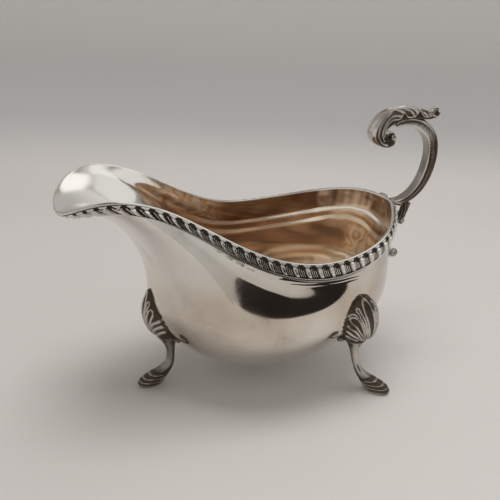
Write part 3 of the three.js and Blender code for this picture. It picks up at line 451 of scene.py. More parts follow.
def leaf_cap():
    def shape(U, TH, a, b, D):
        th = np.where(TH > pi, TH - 2 * pi, TH)             # 0 is the top, +-pi the underside
        at = np.degrees(np.abs(th)); c, s = np.cos(th), np.sin(th)
        e = 1 - 0.42 * smooth(34, 40, U)
        cc, ss = np.sign(c) * np.abs(c) ** e, np.sign(s) * np.abs(s) ** e
        p = a * cc + 0.85 * smooth(2, 8, U) * (1 - smooth(24, 33, U)) * smooth(-0.1, 0.8, c); q = b * ss
        x, y = U, at * 0.078
        rd = np.zeros(U.shape); hh = np.zeros(U.shape)
        for pts, sg, ht in LEAF:
            sg = 1.22 * sg
            L = polyline([(u_, v_ * 0.078) for u_, v_ in pts], 0.15); dd = near_line(x, y, L)
            k = np.exp(-(dd / sg) ** 2); rd = np.maximum(rd, k); hh = np.maximum(hh, ht * k)
        edge = np.interp(U, *LEAF_EDGE)
        on = smooth(4, -3, at - edge)                       # 1 on the leaf, 0 below its scalloped edge
        first = np.interp(U, [0, 12, 16, 20, 24, 30, 34, 40, 45], [20, 22, 8, 4, 14, 34, 40, 58, 66])
        zone = smooth(-4, 8, at - first) * smooth(2.0, 4.0, U) * (1 - smooth(41, 44, U))
        rim_ = np.exp(-((at - edge + 5) / 5.0) ** 2) * smooth(2.5, 5, U) * (1 - smooth(33, 37, U))
        lift = on * (zone * (hh - 0.42 * (1 - rd)) + 0.50 * rim_ * (1 - rd) + 0.30) - (1 - on) * 0.95 * (1 - smooth(34, 39, U))
        nx, ny = c / np.maximum(a, 0.5), s / b; l = np.hypot(nx, ny)
        p, q = p + lift * nx / l, q + lift * ny / l
        ox = on * zone * np.clip(0.72 - 1.25 * np.maximum(rd, 0.75 * rim_), 0, 1) + (1 - on) * (0.95 - 0.5 * smooth(34, 40, U))
        return p, q, np.clip(ox, 0, 1)
    R, ox = sweep(CAP, 460, 260, shape)
    un = np.linspace(0, 45, R.shape[0])[:, None] + 0 * ox
    cap = make('handle_leaf', R, True, {'oxide_and_shade': ox, 'tarnish_and_shade': 0.30 * smooth(17, 24, un) * (1 - smooth(36, 42, un)) + 0.04}, 'cast_silver')
    REPLACES.append((cap, ['handle_leaf_cap']))
    # rolled thumb end behind the leaf: a short roll, open to the back, between rounded ends
    n, m = 46, 120; yy = np.linspace(-1, 1, n); fi = np.linspace(0, 2 * pi, m, endpoint=False)
    rings = []; oxs = []
    for y in yy:
        k = (1 - abs(y) ** 5) ** 0.35 if abs(y) < 1 else 0.0
        dl = (np.degrees(fi) - 28 + 180) % 360 - 180
        slot = np.exp(-(np.abs(dl) / 27) ** 4)
        r = (2.62 + 0.10 * np.cos(3 * fi) - 0.25 * np.exp(-((dl - 95) / 30) ** 2)) * (1 - 0.66 * slot)
        r = r * (0.80 + 0.20 * k)
        rings.append(np.stack([97.85 + r * np.cos(fi), np.full(m, 1.55 * y), 118.95 + 1.04 * r * np.sin(fi)], -1)); oxs.append(smooth(0.25, 0.75, slot) * (1 - 0.3 * k))
    # dish the two ends
    rings = np.array(rings); oxs = np.array(oxs)
    cen = np.array([97.85, 0, 118.95])
    for i_, kk in ((0, 0.86), (-1, 0.86)):
        rings[i_] = cen * [1, 0, 1] + (rings[i_] - cen * [1, 0, 1]) * np.array([kk, 1, kk])
    caps = []
    for sgn in (-1, 1):
        base = rings[0] if sgn < 0 else rings[-1]; bo = oxs[0] if sgn < 0 else oxs[-1]
        for kk, dy in ((0.62, -0.10), (0.34, -0.34)):
            caps.append((sgn, kk, np.stack([cen[0] + (base[:, 0] - cen[0]) * kk, base[:, 1] - sgn * -dy, cen[2] + (base[:, 2] - cen[2]) * kk], -1), np.full(m, 0.75 if kk > 0.5 else 1.0)))
    lo = [c_[2] for c_ in caps if c_[0] < 0][::-1]; hi = [c_[2] for c_ in caps if c_[0] > 0]
    olo = [c_[3] for c_ in caps if c_[0] < 0][::-1]; ohi = [c_[3] for c_ in caps if c_[0] > 0]
    make('handle_thumb_roll', np.concatenate([np.array(lo), rings, np.array(hi)]), True, {'oxide_and_shade': np.concatenate([np.array(olo), oxs, np.array(ohi)])}, 'cast_silver')


def strut():
    def shape(U, TH, a, b, D):
        c, s = np.cos(TH), np.sin(TH)
        r = 0.5 + 0.5 * np.cos(2 * pi * (TH / (2 * pi) * 8 + U / 7.0))
        k = 1 + 0.16 * (r - 0.5)
        edge = 1 + 0.10 * np.cos(2 * pi * U / 3.6) * smooth(0.5, 1, np.abs(s))
        return a * c * k, b * s * k * edge, np.clip((1 - r) ** 1.2 * 0.8 + 0.38, 0, 1)
    R, ox = sweep(STRUT, 120, 72, shape)
    o = make('handle_strut', R, True, {'oxide_and_shade': ox}, 'cast_silver')
    REPLACES.append((o, ['handle_strut_leaf']))
    # turned-out tip of the leaf: three small lobes
    for i, (dx, dy, dz, r) in enumerate(((0, 0, 0, 1.25), (-0.4, -1.35, 0.25, 0.95), (-0.4, 1.35, 0.25, 0.95))):
        P = resample([[85.6 + dx * 0.3, dy * 0.5, 68.0, 0.8], [86.6 + dx, dy * 0.9, 66.9 + dz, r * 0.95], [87.0 + dx, dy, 65.9 + dz, r], [86.2 + dx, dy, 65.0 + dz, r * 0.6]], 24)
        Rg = tube(P[:, :3], P[:, 3], 20)
        make('handle_strut_tip_%d' % i, Rg, True, {'oxide_and_shade': np.full(Rg.shape[:2], 0.15)}, 'cast_silver')


# ------------------------------------------------------------------ legs
def leg(name, table, foot, ang, tilt, node):
    T = np.asarray(table, float); z = T[:, 0]; f = [natural(z, T[:, k]) for k in (1, 2, 3)]; top = z[-1]
    q = np.concatenate([[0.0, 0.1, 0.25, 0.45], np.linspace(0.7, 10, 92), np.linspace(10, 22.5, 40)[1:], np.linspace(22.5, top, 190)[1:]])
    m = 220; th = np.linspace(-pi, pi, m, endpoint=False)
    Q, TH = np.meshgrid(q, th, indexing='ij'); c, s = np.cos(TH), np.sin(TH)
    ro, ri, b = f[0](Q), f[1](Q), f[2](Q); rc, a = (ro + ri) / 2, (ro - ri) / 2
    e = 0.9 + 0.1 * smooth(21, 23, Q); cc = np.sign(c) * np.abs(c) ** e; ss = np.sign(s) * np.abs(s) ** e
    fw = np.where(Q < 9, 1 + 0.25 * cc * (1 - Q / 9), 1)
    bev = 1 - 0.10 * np.clip(1 - Q / 0.45, 0, 1) ** 2
    u = np.array([math.cos(ang), math.sin(ang), 0]); v = np.array([-math.sin(ang), math.cos(ang), 0])

    def place(r, w, h):
        k = np.clip((h - 21) / 8, 0, 1); p = tilt * k * k * (3 - 2 * k) * pi / 180; hh = h - SHELL_BASE
        w1 = w * np.cos(p) - hh * np.sin(p); z1 = SHELL_BASE + hh * np.cos(p) + w * np.sin(p)
        return np.array([foot[0], foot[1], 0]) + r[..., None] * u + w1[..., None] * v + z1[..., None] * np.array([0, 0, 1.0])
    r0 = rc + a * cc * bev; w0 = b * ss * fw * bev
    P = place(r0, w0, Q)
    # ring angle at which the head meets the bowl, on each side
    ins = depth_in(P) > -0.05
    front = place(ro, 0 * ro, Q)
    def meet(sel):
        out = np.full(len(q), pi)
        for i in range(len(q)):
            k = np.where(ins[i] & sel)[0]
            if len(k): out[i] = np.abs(th[k]).min()
        w = np.array([0.1, 0.2, 0.4, 0.2, 0.1]); return np.maximum(np.convolve(np.pad(out, 2, mode='edge'), w, 'valid'), 0.12)
    tp, tn = meet(th > 0.0), meet(th < 0.0)
    lim = np.where(TH > 0, tp[:, None], tn[:, None])
    X = np.clip(np.abs(TH) / lim, 0, 1.2); Y = np.clip((Q - 24.0) / (top - 24.0), 0, 1)
    shell = smooth(23.5, 27.0, Q) * (1 - smooth(0.99, 1.08, X))
    centre = 0.0 if node == 'leg_front' else (-27.0 if ang < 0 else 27.0)
    rel = np.abs(np.degrees(TH) - centre); sel = (Q > 23) & (rel < 112)
    rd = np.zeros(Q.shape); hh = np.full(Q.shape, -0.5)
    for pts, sg, ht in (SHELL_FRONT if node == 'leg_front' else SHELL_REAR):
        L = polyline([(r_ * 0.17, q_) for q_, r_ in pts], 0.14); dd = near_line(rel[sel] * 0.17, Q[sel], L)
        if node == 'leg_front': sg = sg * (1.12 + 0.45 * smooth(42, 30, Q[sel]))
        taper = smooth(25.5, 31, Q[sel])
        k_ = np.exp(-(dd / sg) ** 2); rd[sel] = np.maximum(rd[sel], k_); hh[sel] = np.maximum(hh[sel], -0.5 * (1 - k_) + ht * k_)
    relief = hh * shell
    ox = np.clip(0.98 - 1.45 * rd, 0, 1) * shell
    # hoof: stepped growth lines round the front of the foot
    zz = Q + 0.5 * (1 - c) * 0.9 - 0.25
    ph = (zz - 0.9) / 1.55; fr = ph - np.floor(ph)
    hoof = smooth(0.5, 1.0, Q) * (1 - smooth(6.6, 8.4, Q)) * smooth(-0.75, -0.2, c)
    st = np.where(fr < 0.22, fr / 0.22, 1 - (fr - 0.22) / 0.78)
    hr = hoof * (0.42 * st - 0.24)
    relief = relief + hr
    ox = np.maximum(ox, hoof * (1 - smooth(0.62, 0.92, st)) * 0.80)
    # darker in the hollow behind the ankle and in a band under the head
    ox = np.maximum(ox, 0.85 * smooth(3.5, 6, Q) * (1 - smooth(10, 13, Q)) * smooth(-0.05, -0.4, c) * smooth(0.15, 0.6, np.abs(s)))
    ox = np.maximum(ox, 0.55 * smooth(19, 23, Q) * (1 - smooth(24, 26, Q)) * smooth(0.4, -0.3, c))
    # push the relief out across the section, then keep the back of the head in the wall
    nx, ny = cc / np.maximum(a, 1.0), ss / np.maximum(b, 1.0); l = np.hypot(nx, ny) + 1e-9
    P = place(r0 + relief * nx / l, w0 + relief * ny / l, Q)
    bad = (depth_in(P) > 0.35) & (Q > 12)
    lo = np.zeros(Q.shape); hi = np.ones(Q.shape)
    F = place(ro - 0.4, 0 * ro, Q)
    for _ in range(16):
        mid = (lo + hi) / 2; M = F + (P - F) * mid[..., None]; i = depth_in(M) > 0.35
        hi = np.where(i, mid, hi); lo = np.where(i, lo, mid)
    P = np.where(bad[..., None], F + (P - F) * lo[..., None], P)
    shaft = smooth(5.5, 9, Q) * (1 - smooth(23, 27, Q))
    tn = shaft * ((0.62 if node == 'leg_front' else 0.34) + 0.3 * smooth(0.3, -0.5, c)) + 0.5 * (1 - smooth(7, 9.5, Q)) * smooth(0.4, 1.0, Q) + 0.25 * shell
    o = make(name, P, True, {'oxide_and_shade': np.clip(ox, 0, 1), 'tarnish_and_shade': np.clip(tn, 0, 1)}, 'cast_silver')
    REPLACES.append((o, [node]))
    return o


# flute edges of the shell on one side of its middle: height in mm, angle from the middle in degrees
SHELL_REAR = [([(52.95, 0), (52.6, 8), (51.5, 12), (50, 13), (46, 11), (42.6, 9.5), (37, 7.5), (31, 3)], 0.42, 0.40),
              ([(50.9, 30.5), (50.7, 28), (49.6, 24), (47.7, 19.5), (43.9, 16), (38.4, 12.5), (31, 6)], 0.36, 0.34),
              ([(50.9, 30.5), (50.3, 34), (49.1, 30), (46.9, 25), (42.9, 20.5), (38, 16.5), (31, 8.5)], 0.34, 0.30),
              ([(48.0, 53), (48.8, 47), (48.9, 41), (48.2, 35), (46.6, 28.5)], 0.32, 0.24),
              ([(47.2, 51), (47.8, 45), (47.5, 38), (46.2, 31), (42.8, 25.5), (38.7, 22), (33.9, 18), (29, 11)], 0.38, 0.38),
              ([(47.2, 51), (45.6, 47.5), (43.9, 40.5), (41.1, 34), (38.4, 29), (33, 21.5), (29, 13)], 0.36, 0.34),
              ([(43.6, 56), (41.6, 45.5), (39.2, 38), (33.8, 31), (29, 19)], 0.52, 0.36),
              ([(40.4, 58), (38.2, 50), (35.4, 41.5), (30.5, 29)], 0.62, 0.34),
              ([(36.6, 61), (33.6, 55), (29.5, 41)], 0.58, 0.30)]
SHELL_FRONT = [([(49.3, 0), (48.2, 5), (46.4, 9), (44.9, 11), (42.3, 11.5), (38, 10), (32, 7), (28, 3)], 0.42, 0.40),
               ([(44.8, 24), (44.4, 20), (42.8, 17), (39.5, 14.5), (34.5, 11), (29.5, 6)], 0.34, 0.32),
               ([(44.8, 24), (44.0, 27.5), (42.6, 24.5), (40.2, 20.5)], 0.32, 0.26),
               ([(41.7, 34), (41.3, 29.5), (40.0, 25), (37.8, 20.5), (35.7, 18), (32.8, 15), (28, 8)], 0.38, 0.38),
               ([(41.7, 34), (41.1, 38.5), (39.8, 39.5), (38.2, 36), (35.6, 29), (33.0, 22.5), (30.5, 16.5), (28, 10)], 0.38, 0.36),
               ([(37.2, 54), (36.6, 50), (35.4, 39.5), (32.7, 28.5), (28.5, 16)], 0.55, 0.38),
               ([(34.4, 58), (33.6, 50), (32.0, 40), (28.6, 24)], 0.62, 0.36),
               ([(31.2, 62), (29.8, 49), (26.6, 32)], 0.58, 0.32)]


def nearest(p):
    s = np.linspace(0, 2, 241)[:-1]; t = np.linspace(0.02, 1.95, 140); S = surf(s[:, None], t[None, :])
    d = ((S - p) ** 2).sum(-1); i, j = np.unravel_index(d.argmin(), d.shape); b = [s[i], t[j]]; h = 0.008; best = d.min()
    for _ in range(14):
        for da, db in ((h, 0), (-h, 0), (0, h * 2), (0, -h * 2)):
            w = ((surf((b[0] + da) % 2, np.clip(b[1] + db, 0.01, 1.98)) - p) ** 2).sum()
            if w < best: best = w; b = [(b[0] + da) % 2, float(np.clip(b[1] + db, 0.01, 1.98))]
        h /= 1.6
    return b


def off_surf(p, h):
    s, t = nearest(np.asarray(p, float)); n = normal(s, t)
    return surf(s, t) + n * h, n


def scroll(name, pts, node, side, R=1.5, turns=1.35, r_end=0.42, clear=0.0, strap_dark=0.36, plate=1.12, face=None):
    """A small strap that leaves a casting along the bowl and rolls up. pts: [x, y, z, radius] near the bowl."""
    on = [off_surf(p[:3], p[3] * 0.75 + clear) for p in pts]
    P = resample([list(a[0]) + [p[3]] for a, p in zip(on, pts)], 30)
    n = on[-1][1] if face is None else unit(np.array(face)); d = P[-1, :3] - P[-2, :3]
    V, r = volute(P[-1, :3], d, n, side, R, turns, P[-1, 3], r_end)
    Q = np.vstack([P[:, :3], V]); rr = np.concatenate([P[:, 3], r])
    c = Q[30:].mean(0)
    Q[30:] += n * 0.35 * np.linspace(0, 1, len(V))[:, None]
    Rg = tube(Q, rr, 18)
    # the whole strap is evenly darkened
    o = make(name, Rg, True, {'oxide_and_shade': np.full(Rg.shape[:2], strap_dark), 'tarnish_and_shade': np.full(Rg.shape[:2], 0.6 if plate else 0.2)}, 'cast_silver')
    # painted shade: a dark plate under the roll, so the gaps of the coil read as shade
    if plate:
        B = tube(np.array([c - n * 0.72, c - n * 0.55, c - n * 0.12, c + n * 0.08]), np.array([0.32, plate, plate, 0.32]) * R, 28)
        make(name + '_shade_plate', B, True, {'oxide_and_shade': np.full(B.shape[:2], 0.9)}, 'cast_silver')
    REPLACES.append((o, [node]))


bowl()
REPLACES.append((bpy.data.objects['bowl_shell'], ['body_bowl']))
border(1); border(-1)
handle(); REPLACES.append((bpy.data.objects['handle_scroll_bar'], ['handle_scroll']))
leaf_cap()
strut()
ra = math.radians(REAR_ANGLE)
LEGS = [('leg_front', LEG_FRONT, FRONT_FOOT, pi, 0.0), ('leg_rear_left', LEG_REAR, REAR_FOOT, ra, -REAR_TILT), ('leg_rear_right', LEG_REAR, (REAR_FOOT[0], -REAR_FOOT[1]), -ra, REAR_TILT)]
for nm, tab, ft, an, tl in LEGS:
    leg(nm + '_casting', tab, ft, an, tl, nm)
for nm, tab, ft, an, tl in LEGS:
    for key, side in (('a', 1), ('b', -1)):
        u = np.array([math.cos(an), math.sin(an)]); v = np.array([-math.sin(an), math.cos(an)])
        rb = -10.4 if nm == 'leg_front' else -17.0
        pts = ([[0.6, 3.0, 25.2, 0.95], [-0.2, 6.0, 26.0, 0.72], [-1.0, 9.0, 27.2, 0.62], [-1.6, 10.2, 27.8, 0.6]] if nm == 'leg_front'
               else [[0.6, 3.0, 26.0, 0.95], [-0.2, 5.8, 27.0, 0.72], [-1.0, 8.8, 28.6, 0.62], [-1.6, 10.4, 29.6, 0.6]])
        W = [[ft[0] + u[0] * (rb + a) + v[0] * side * b, ft[1] + u[1] * (rb + a) + v[1] * side * b, c, r] for a, b, c, r in pts]
        node = nm.replace('leg_', 'leg_scroll_') + '_' + key
        scroll(node + '_strap', W, node, 1 if side > 0 else -1, 1.05, 1.3, 0.42)
for side, nm in ((1, 'left'), (-1, 'right')):
    pts = []
    for ds, r in ((0.021, 0.9), (0.031, 0.9), (0.042, 0.85)):
        p = rim(1 - ds); n = normal(1 - ds, 0.03); q = p + n * (BORDER_T + 1.0)
        pts.append([q[0], side * abs(q[1]), q[2] - 0.35, r])
    P = resample(pts, 16); d = P[-1, :3] - P[-2, :3]
    V, r = volute(P[-1, :3], d, np.array([0.3, 0, 0.95]), -side, 1.75, 1.3, 0.85, 0.42)
    Q = np.vstack([P[:, :3], V]); rr = np.concatenate([P[:, 3], r]); Rg = tube(Q, rr, 18)
    Rg = Rg + np.array([-1.5, 0, 0.4])
    # painted shade: each ring of the curl is darker on its lower side and bright on top
    zc = Rg[..., 2].mean(1, keepdims=True); low_ = np.clip(0.42 - 0.95 * (Rg[..., 2] - zc) / np.maximum(np.ptp(Rg[..., 2], axis=1)[:, None] / 2, 0.2), 0, 1)
    o = make('handle_joint_curl_' + nm, Rg, True, {'oxide_and_shade': low_, 'tarnish_and_shade': 0.3 + 0 * low_}, 'cast_silver')
    REPLACES.append((o, ['handle_joint_scroll_' + nm]))
    scroll('handle_lower_curl_' + nm, [[81.0, side * 4.0, 64.4, 1.2], [79.8, side * 6.8, 61.6, 1.1], [76.8, side * 9.8, 58.3, 1.05], [73.8, side * 12.1, 56.9, 1.0]],
           'handle_lower_scroll_' + nm, -side, 2.05, 1.25, 0.56, 0.1, 0.0, 0, (-0.25, side * 1.0, 0.2))


# ------------------------------------------------------------------ materials
def mat(name):
    m = bpy.data.materials.new(name); m.use_nodes = True; nt = m.node_tree; nt.nodes.clear()
    out = nt.nodes.new('ShaderNodeOutputMaterial'); bs = nt.nodes.new('ShaderNodeBsdfPrincipled')
    nt.links.new(bs.outputs['BSDF'], out.inputs['Surface'])
    return m, nt, bs


def node(nt, kind, **k):
    n = nt.nodes.new(kind)
    for a, b in k.items():
        if a == 'inp':
            for i, val in b.items(): n.inputs[i].default_value = val
        else: setattr(n, a, b)
    return n


def ramp(nt, src, stops, interp='LINEAR'):
    r = nt.nodes.new('ShaderNodeValToRGB'); r.color_ramp.interpolation = interp
    el = r.color_ramp.elements
    while len(el) > len(stops): el.remove(el[-1])
    while len(el) < len(stops): el.new(0.5)
    for e, (p, c) in zip(el, stops): e.position = p; e.color = (*c, 1) if len(c) == 3 else c
    nt.links.new(src, r.inputs['Fac']); return r.outputs['Color']


def mixc(nt, fac, a, b, mode='MIX'):
    n = nt.nodes.new('ShaderNodeMix'); n.data_type = 'RGBA'; n.blend_type = mode
    for v, i in ((fac, 0), (a, 6), (b, 7)):
        if isinstance(v, bpy.types.NodeSocket): nt.links.new(v, n.inputs[i])
        elif i == 0: n.inputs[0].default_value = v
        else: n.inputs[i].default_value = (*v, 1)
    return n.outputs[2]


def math_(nt, op, a, b=None, clamp=False):
    n = nt.nodes.new('ShaderNodeMath'); n.operation = op; n.use_clamp = clamp
    for v, i in ((a, 0), (b, 1)):
        if v is None: continue
        if isinstance(v, bpy.types.NodeSocket): nt.links.new(v, n.inputs[i])
        else: n.inputs[i].default_value = v
    return n.outputs[0]


def noise(nt, co, scale, detail=3, rough=0.55):
    n = node(nt, 'ShaderNodeTexNoise', inp={'Scale': scale, 'Detail': detail, 'Roughness': rough}); nt.links.new(co, n.inputs['Vector']); return n.outputs['Fac']


def silver_bowl():
    m, nt, bs = mat('silver_polished')
    tc = nt.nodes.new('ShaderNodeTexCoord'); co = tc.outputs['Object']
    ins = node(nt, 'ShaderNodeAttribute', attribute_name='inside').outputs['Fac']
    geo = nt.nodes.new('ShaderNodeSeparateXYZ'); nt.links.new(co, geo.inputs[0])
    n1, n2, n3 = noise(nt, co, 38, 4), noise(nt, co, 120, 5, 0.6), noise(nt, co, 900, 2)
    # outside: clean silver with faint smudges, darker and browner over the lower belly, back to the clean tone near the
    # keel
    lowp = node(nt, 'ShaderNodeMapRange', interpolation_type='SMOOTHSTEP', inp={'From Min': 0.078, 'From Max': 0.052}); nt.links.new(geo.outputs['Z'], lowp.inputs['Value'])
    n4 = noise(nt, co, 16, 3, 0.5)
    cloud = math_(nt, 'ADD', math_(nt, 'MULTIPLY', n1, 0.55), math_(nt, 'MULTIPLY', n4, 0.45))
    clean = ramp(nt, cloud, [(0.36, (0.74, 0.705, 0.65)), (0.60, (0.84, 0.82, 0.785))])
    lower_tone = ramp(nt, cloud, [(0.38, (0.60, 0.525, 0.44)), (0.50, (0.70, 0.64, 0.565)), (0.62, (0.80, 0.76, 0.70))])
    outc = mixc(nt, lowp.outputs[0], clean, lower_tone)
    base_ = node(nt, 'ShaderNodeMapRange', interpolation_type='SMOOTHSTEP', inp={'From Min': 0.040, 'From Max': 0.024}); nt.links.new(geo.outputs['Z'], base_.inputs['Value'])
    outc = mixc(nt, base_.outputs[0], outc, ramp(nt, cloud, [(0.38, (0.74, 0.705, 0.645)), (0.60, (0.83, 0.80, 0.75))]))
    # thin smudges and wipe marks
    sm = ramp(nt, noise(nt, co, 55, 6, 0.72), [(0.30, (0.72, 0.70, 0.69)), (0.40, (0.93, 0.925, 0.92)), (0.50, (1.0, 1.0, 1.0))])
    outc = mixc(nt, 0.8, outc, sm, 'MULTIPLY')
    # painted shade: the tail end of the outside is darkened to a cooler grey
    tl = node(nt, 'ShaderNodeMapRange', interpolation_type='SMOOTHSTEP', inp={'From Min': 0.030, 'From Max': 0.056}); nt.links.new(geo.outputs['X'], tl.inputs['Value'])
    outc = mixc(nt, tl.outputs[0], outc, mixc(nt, 1.0, outc, ramp(nt, cloud, [(0.38, (0.62, 0.61, 0.62)), (0.62, (0.79, 0.785, 0.79))]), 'MULTIPLY'))
    # inside: warm tarnish, stronger towards the bottom and clean on the lip
    pt = node(nt, 'ShaderNodeAttribute', attribute_name='patina').outputs['Fac']
    pw = math_(nt, 'ADD', pt, math_(nt, 'ADD', math_(nt, 'MULTIPLY', math_(nt, 'SUBTRACT', n1, 0.5), 0.30), math_(nt, 'MULTIPLY', math_(nt, 'SUBTRACT', n2, 0.5), 0.09)), True)
    warm = ramp(nt, pw, [(0.03, (0.96, 0.90, 0.82)), (0.22, (0.98, 0.78, 0.51)), (0.55, (0.65, 0.46, 0.32)), (1.0, (0.25, 0.16, 0.10))])
    lip = node(nt, 'ShaderNodeMapRange', interpolation_type='SMOOTHSTEP', inp={'From Min': -0.050, 'From Max': -0.032}); nt.links.new(geo.outputs['X'], lip.inputs['Value'])
    inc = mixc(nt, lip.outputs[0], (0.86, 0.845, 0.81), warm)
    col = mixc(nt, ins, outc, inc)
    nt.links.new(col, bs.inputs['Base Color'])
    nt.links.new(math_(nt, 'SUBTRACT', 1.0, math_(nt, 'MULTIPLY', math_(nt, 'MULTIPLY', ins, lip.outputs[0]), math_(nt, 'ADD', 0.07, math_(nt, 'MULTIPLY', math_(nt, 'SUBTRACT', 1.0, pt), 0.40)))), bs.inputs['Metallic'])
    ro = math_(nt, 'ADD', math_(nt, 'ADD', math_(nt, 'MULTIPLY', n2, 0.07), 0.050), math_(nt, 'MULTIPLY', math_(nt, 'MULTIPLY', ins, lip.outputs[0]), 0.05))
    ro = math_(nt, 'ADD', ro, math_(nt, 'MULTIPLY', math_(nt, 'MULTIPLY', ins, math_(nt, 'SUBTRACT', 1.0, lip.outputs[0])), 0.09))
    nt.links.new(ro, bs.inputs['Roughness'])
    bp = node(nt, 'ShaderNodeBump', inp={'Strength': 0.07, 'Distance': 0.0004}); nt.links.new(noise(nt, co, 140, 3, 0.5), bp.inputs['Height']); nt.links.new(bp.outputs['Normal'], bs.inputs['Normal'])
    return m


def silver_cast(name, bright, dark, r0, r1, lo=0.12, hi=0.62):
    m, nt, bs = mat(name)
    tc = nt.nodes.new('ShaderNodeTexCoord'); co = tc.outputs['Object']
    # oxide: dark metal in the hollows, also carrying painted shade on the joint curls and the plates under the strap
    # rolls
    ox = node(nt, 'ShaderNodeAttribute', attribute_name='oxide_and_shade').outputs['Fac']
    n1, n2 = noise(nt, co, 160, 4), noise(nt, co, 700, 4, 0.65)
    w = math_(nt, 'ADD', ox, math_(nt, 'MULTIPLY', math_(nt, 'SUBTRACT', n2, 0.5), 0.35), True)
    k = node(nt, 'ShaderNodeMapRange', interpolation_type='SMOOTHSTEP', inp={'From Min': lo, 'From Max': hi}); nt.links.new(w, k.inputs['Value']); k = k.outputs[0]
    br = ramp(nt, n1, [(0.34, tuple(0.86 * v for v in bright)), (0.66, bright)])
    # tarnish film: dark brown over the bright metal; on the handle bar it also carries painted shade and reflection
    tn = node(nt, 'ShaderNodeAttribute', attribute_name='tarnish_and_shade').outputs['Fac']
    film_and_shade = math_(nt, 'MULTIPLY', tn, math_(nt, 'ADD', 0.55, math_(nt, 'MULTIPLY', n1, 0.9)), True)
    br = mixc(nt, film_and_shade, br, ramp(nt, n1, [(0.38, (0.050, 0.033, 0.021)), (0.68, (0.165, 0.118, 0.080))]))
    dk = ramp(nt, n2, [(0.3, dark), (0.75, tuple(2.6 * v for v in dark))])
    nt.links.new(mixc(nt, k, br, dk), bs.inputs['Base Color'])
    nt.links.new(math_(nt, 'SUBTRACT', 1.0, math_(nt, 'MULTIPLY', k, 0.45)), bs.inputs['Metallic'])
    rr = math_(nt, 'ADD', math_(nt, 'ADD', r0, math_(nt, 'MULTIPLY', k, r1 - r0)), math_(nt, 'MULTIPLY', n2, 0.10))
    nt.links.new(rr, bs.inputs['Roughness'])
    bp = node(nt, 'ShaderNodeBump', inp={'Strength': 0.25, 'Distance': 0.0003}); nt.links.new(n2, bp.inputs['Height']); nt.links.new(bp.outputs['Normal'], bs.inputs['Normal'])
    return m


MATS = {'polished_silver': silver_bowl(), 'border_silver': silver_cast('silver_border', (0.83, 0.80, 0.755), (0.030, 0.024, 0.017), 0.14, 0.48),
        'cast_silver': silver_cast('silver_cast', (0.82, 0.785, 0.73), (0.050, 0.037, 0.024), 0.15, 0.42)}
for o, slot in PIECES:
    o.data.materials.clear(); o.data.materials.append(MATS[slot])
    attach(o, 'root')
for o, nodes in REPLACES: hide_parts(*nodes)


# ------------------------------------------------------------------ stage, light and camera
def stage_mat(name, colour, rough=0.9):
    m, nt, bs = mat(name); tc = nt.nodes.new('ShaderNodeTexCoord')
    n = noise(nt, tc.outputs['Object'], 6, 2)
    sp = nt.nodes.new('ShaderNodeSeparateXYZ'); nt.links.new(tc.outputs['Object'], sp.inputs[0])
    # painted shade: the paper darkens to grey where it rises into the wall and lightens somewhat higher up
    up_ = node(nt, 'ShaderNodeMapRange', interpolation_type='SMOOTHSTEP', inp={'From Min': 0.002, 'From Max': 0.045}); nt.links.new(sp.outputs['Z'], up_.inputs['Value'])
    hi_ = node(nt, 'ShaderNodeMapRange', interpolation_type='SMOOTHSTEP', inp={'From Min': 0.045, 'From Max': 0.150}); nt.links.new(sp.outputs['Z'], hi_.inputs['Value'])
    low_ = ramp(nt, n, [(0.3, tuple(0.97 * v for v in colour)), (0.7, colour)])
    # painted shade: the floor slightly darker towards the left
    left_shade_ = node(nt, 'ShaderNodeMapRange', interpolation_type='SMOOTHSTEP', inp={'From Min': -0.22, 'From Max': 0.16}); nt.links.new(sp.outputs['X'], left_shade_.inputs['Value'])
    low_ = mixc(nt, left_shade_.outputs[0], mixc(nt, 1.0, low_, (0.885, 0.885, 0.885), 'MULTIPLY'), mixc(nt, 1.0, low_, (1.0, 1.0, 1.005), 'MULTIPLY'))
    nt.links.new(mixc(nt, up_.outputs[0], low_, mixc(nt, hi_.outputs[0], ramp(nt, n, [(0.3, (0.615, 0.620, 0.630)), (0.7, (0.635, 0.638, 0.645))]), (0.755, 0.75, 0.745))), bs.inputs['Base Color'])
    bs.inputs['Roughness'].default_value = rough; bs.inputs['Specular IOR Level'].default_value = 0.2
    return m


def plane(name, corners, material, seen=True, cast=True):
    me = bpy.data.meshes.new(name); me.from_pydata([Vector(c) for c in corners], [], [(0, 1, 2, 3)]); me.update()
    o = bpy.data.objects.new(name, me); bpy.context.scene.collection.objects.link(o); me.materials.append(material)
    if not seen: o.visible_camera = False
    if not cast: o.visible_shadow = False; o.visible_diffuse = False
    return o


az, el, roll, D, foc, tx, tz = -23.072, 24.0, 2.0, 326.667, 723.147, 6.947, 61.477
a, e, r = (math.radians(v) for v in (az, el, roll))
back = np.array([math.sin(a) * math.cos(e), -math.cos(a) * math.cos(e), math.sin(e)])
right = np.array([math.cos(a), math.sin(a), 0]); upv = np.cross(back, right)
Rr = math.cos(r) * right + math.sin(r) * upv; Uu = -math.sin(r) * right + math.cos(r) * upv
pos = (np.array([tx + SHIFT_X, 0, tz]) + back * D) * MM
cam = bpy.data.cameras.new('camera'); co = bpy.data.objects.new('camera', cam); bpy.context.scene.collection.objects.link(co)
co.matrix_world = Matrix([[Rr[i], Uu[i], back[i], pos[i]] for i in range(3)] + [[0, 0, 0, 1]])
cam.sensor_width = 36; cam.lens = foc / 500 * 36; cam.clip_start = 0.01
bpy.context.scene.camera = co

